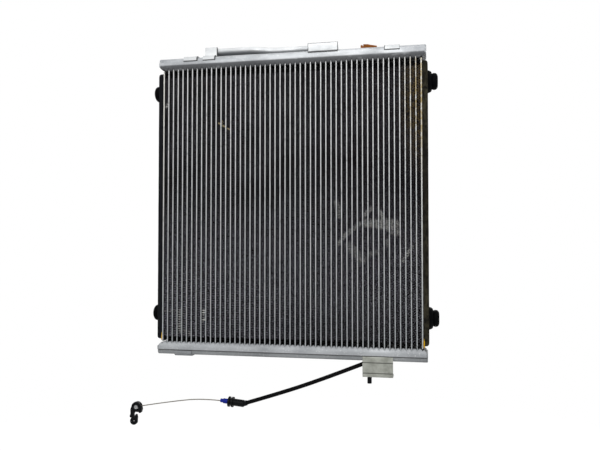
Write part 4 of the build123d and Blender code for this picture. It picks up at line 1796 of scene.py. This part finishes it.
# ---------------------------------------------------------------- stage
@dataclass
class Studio:
    """Pale floor, white surround, soft lamps and the camera. Metres."""

    floor_height: float = -0.62
    floor_radius: float = 5.0
    seen_radius: float = 1.4
    solid_radius: float = 0.75
    floor_tone: float = 0.4
    grain: float = 0.01
    grain_scale: float = 3.0
    floor_glow: float = 0.86
    camera_place: Point = (0.2177, -1.0008, -0.0683)
    camera_aim: Point = (-0.19722, 0.97991, 0.02956)
    lens: float = 39.2
    ambient: float = 0.34
    lamps: tuple[tuple[str, Point, Flat, float], ...] = (
        ("overhead_box", (0.1, -0.2, 1.5), (1.4, 1.0), 4.5),
        ("front_box", (0.2, -1.9, 1.0), (1.4, 0.9), 32.0),
        ("back_box", (0.3, 1.9, 0.9), (1.4, 0.9), 12.0),
    )

    def shown(self, graph: Graph) -> Socket:
        """1 for the rays that show the background: seen straight, mirrored or through glass.

        Args:
            graph: The tree that asks.

        Returns:
            The factor.
        """
        path = graph.add("ShaderNodeLightPath").outputs
        mirrored = {0: path["Is Glossy Ray"], 1: path["Is Transmission Ray"]}
        both = graph.add("ShaderNodeMath", mirrored, operation="MAXIMUM").outputs[0]
        seen = {0: path["Is Camera Ray"], 1: both}
        return graph.add("ShaderNodeMath", seen, operation="MAXIMUM").outputs[0]

    def paper(self) -> bpy.types.Material:
        """White paper that glows where it is seen, so that only shadows tell it from the surround.

        Returns:
            The floor's material.
        """
        material = bpy.data.materials.new("white_paper")
        material.use_nodes = True
        graph = Graph(material.node_tree)
        place = graph.add("ShaderNodeTexCoord").outputs["Object"]
        cloud = graph.add("ShaderNodeTexNoise", {"Vector": place, "Scale": self.grain_scale}).outputs["Fac"]
        tones = {"Value": cloud, "To Min": self.floor_tone - self.grain, "To Max": self.floor_tone + self.grain}
        tone = graph.add("ShaderNodeMapRange", tones).outputs["Result"]
        sheet = graph.add("ShaderNodeBsdfDiffuse", {"Color": tone}).outputs[0]
        seen = self.shown(graph)
        lift = graph.add("ShaderNodeMath", {0: seen, 1: self.floor_glow}, operation="MULTIPLY").outputs[0]
        glow = graph.add("ShaderNodeEmission", {"Strength": lift}).outputs[0]
        both = graph.add("ShaderNodeAddShader", {0: sheet, 1: glow}).outputs[0]
        out = graph.add("ShaderNodeVectorMath", {0: place, 1: (1, 1, 0)}, operation="MULTIPLY").outputs[0]
        away = graph.add("ShaderNodeVectorMath", {0: out}, operation="LENGTH").outputs["Value"]
        rim = {"Value": away, "From Min": self.solid_radius, "From Max": self.seen_radius}
        fade = graph.add("ShaderNodeMapRange", rim, clamp=True, interpolation_type="SMOOTHSTEP").outputs["Result"]
        fade = graph.add("ShaderNodeMath", {0: fade, 1: seen}, operation="MULTIPLY").outputs[0]
        clear = graph.add("ShaderNodeBsdfTransparent").outputs[0]
        faded = graph.add("ShaderNodeMixShader", {0: fade, 1: both, 2: clear}).outputs[0]
        graph.add("ShaderNodeOutputMaterial", {"Surface": faded})
        return material

    def floor(self) -> None:
        """A white floor that keeps the object's shadow and fades into the surround at its rim."""
        mesh = bpy.data.meshes.new("studio_floor")
        bm = bmesh.new()
        bmesh.ops.create_circle(bm, cap_ends=True, radius=self.floor_radius, segments=96)
        bmesh.ops.translate(bm, verts=bm.verts, vec=(0, 0, self.floor_height))
        bm.to_mesh(mesh)
        bm.free()
        mesh.materials.append(self.paper())
        new_object("studio_floor", mesh)

    def surround(self) -> None:
        """A world that is white where it is seen or mirrored, and plain soft light elsewhere."""
        world = bpy.data.worlds.new("white_surround")
        world.use_nodes = True
        graph = Graph(world.node_tree)
        span = {"Value": self.shown(graph), "To Min": self.ambient, "To Max": 1.0}
        strength = graph.add("ShaderNodeMapRange", span).outputs["Result"]
        white = graph.add("ShaderNodeBackground", {"Color": (1, 1, 1, 1), "Strength": strength}).outputs[0]
        graph.add("ShaderNodeOutputWorld", {"Surface": white})
        bpy.context.scene.world = world

    def lamp(self, name: str, place: Point, size: Flat, power: float) -> None:
        """A soft box that faces the origin.

        Args:
            name: The lamp's name.
            place: Where it stands.
            size: Its width and height.
            power: Its power in watts.
        """
        light = bpy.data.lights.new(name, "AREA")
        light.shape = "RECTANGLE"
        light.size, light.size_y = size
        light.energy = power
        lamp = new_object(name, light)
        lamp.location = place
        lamp.rotation_euler = (-Vector(place)).to_track_quat("-Z", "Y").to_euler()
        lamp.visible_camera = False

    def camera(self) -> None:
        """The camera, level with the core and a little to its right."""
        data = bpy.data.cameras.new("camera")
        data.lens = self.lens
        data.sensor_width = 36.0
        data.clip_start = 0.01
        data.clip_end = 100.0
        camera = new_object("camera", data)
        camera.location = self.camera_place
        camera.rotation_euler = Vector(self.camera_aim).to_track_quat("-Z", "Y").to_euler()
        bpy.context.scene.camera = camera

    def build(self) -> None:
        """Sets the stage."""
        self.floor()
        self.surround()
        for lamp in self.lamps:
            self.lamp(*lamp)
        self.camera()
        bpy.context.scene.view_settings.view_transform = "Standard"


def main() -> None:
    """Builds the cooler's looks round its CAD frame."""
    logging.basicConfig(level=logging.INFO, format="%(name)s: %(message)s")
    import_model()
    assemblies = [
        Core(),
        Header(HeaderEnd.TOP, 215.0, UPPER_PLATE, UPPER_METAL),
        Header(HeaderEnd.BOTTOM, -227.0, LOWER_PLATE, LOWER_METAL),
        Clips(),
        Ports(),
        SideStrip(Side.LEFT, STRIP_FOAM_LEFT),
        SideStrip(Side.RIGHT, STRIP_FOAM_RIGHT),
        Isolators(),
        ReleaseCable(),
    ]
    for assembly in assemblies:
        for piece in assembly.build():
            faces = len(piece.data.polygons) if piece.type == "MESH" else 0
            LOG.info("%s: %s (%d faces)", type(assembly).__name__, piece.name, faces)
    Studio().build()
    bpy.context.view_layer.update()


if __name__ == "__main__":
    main()
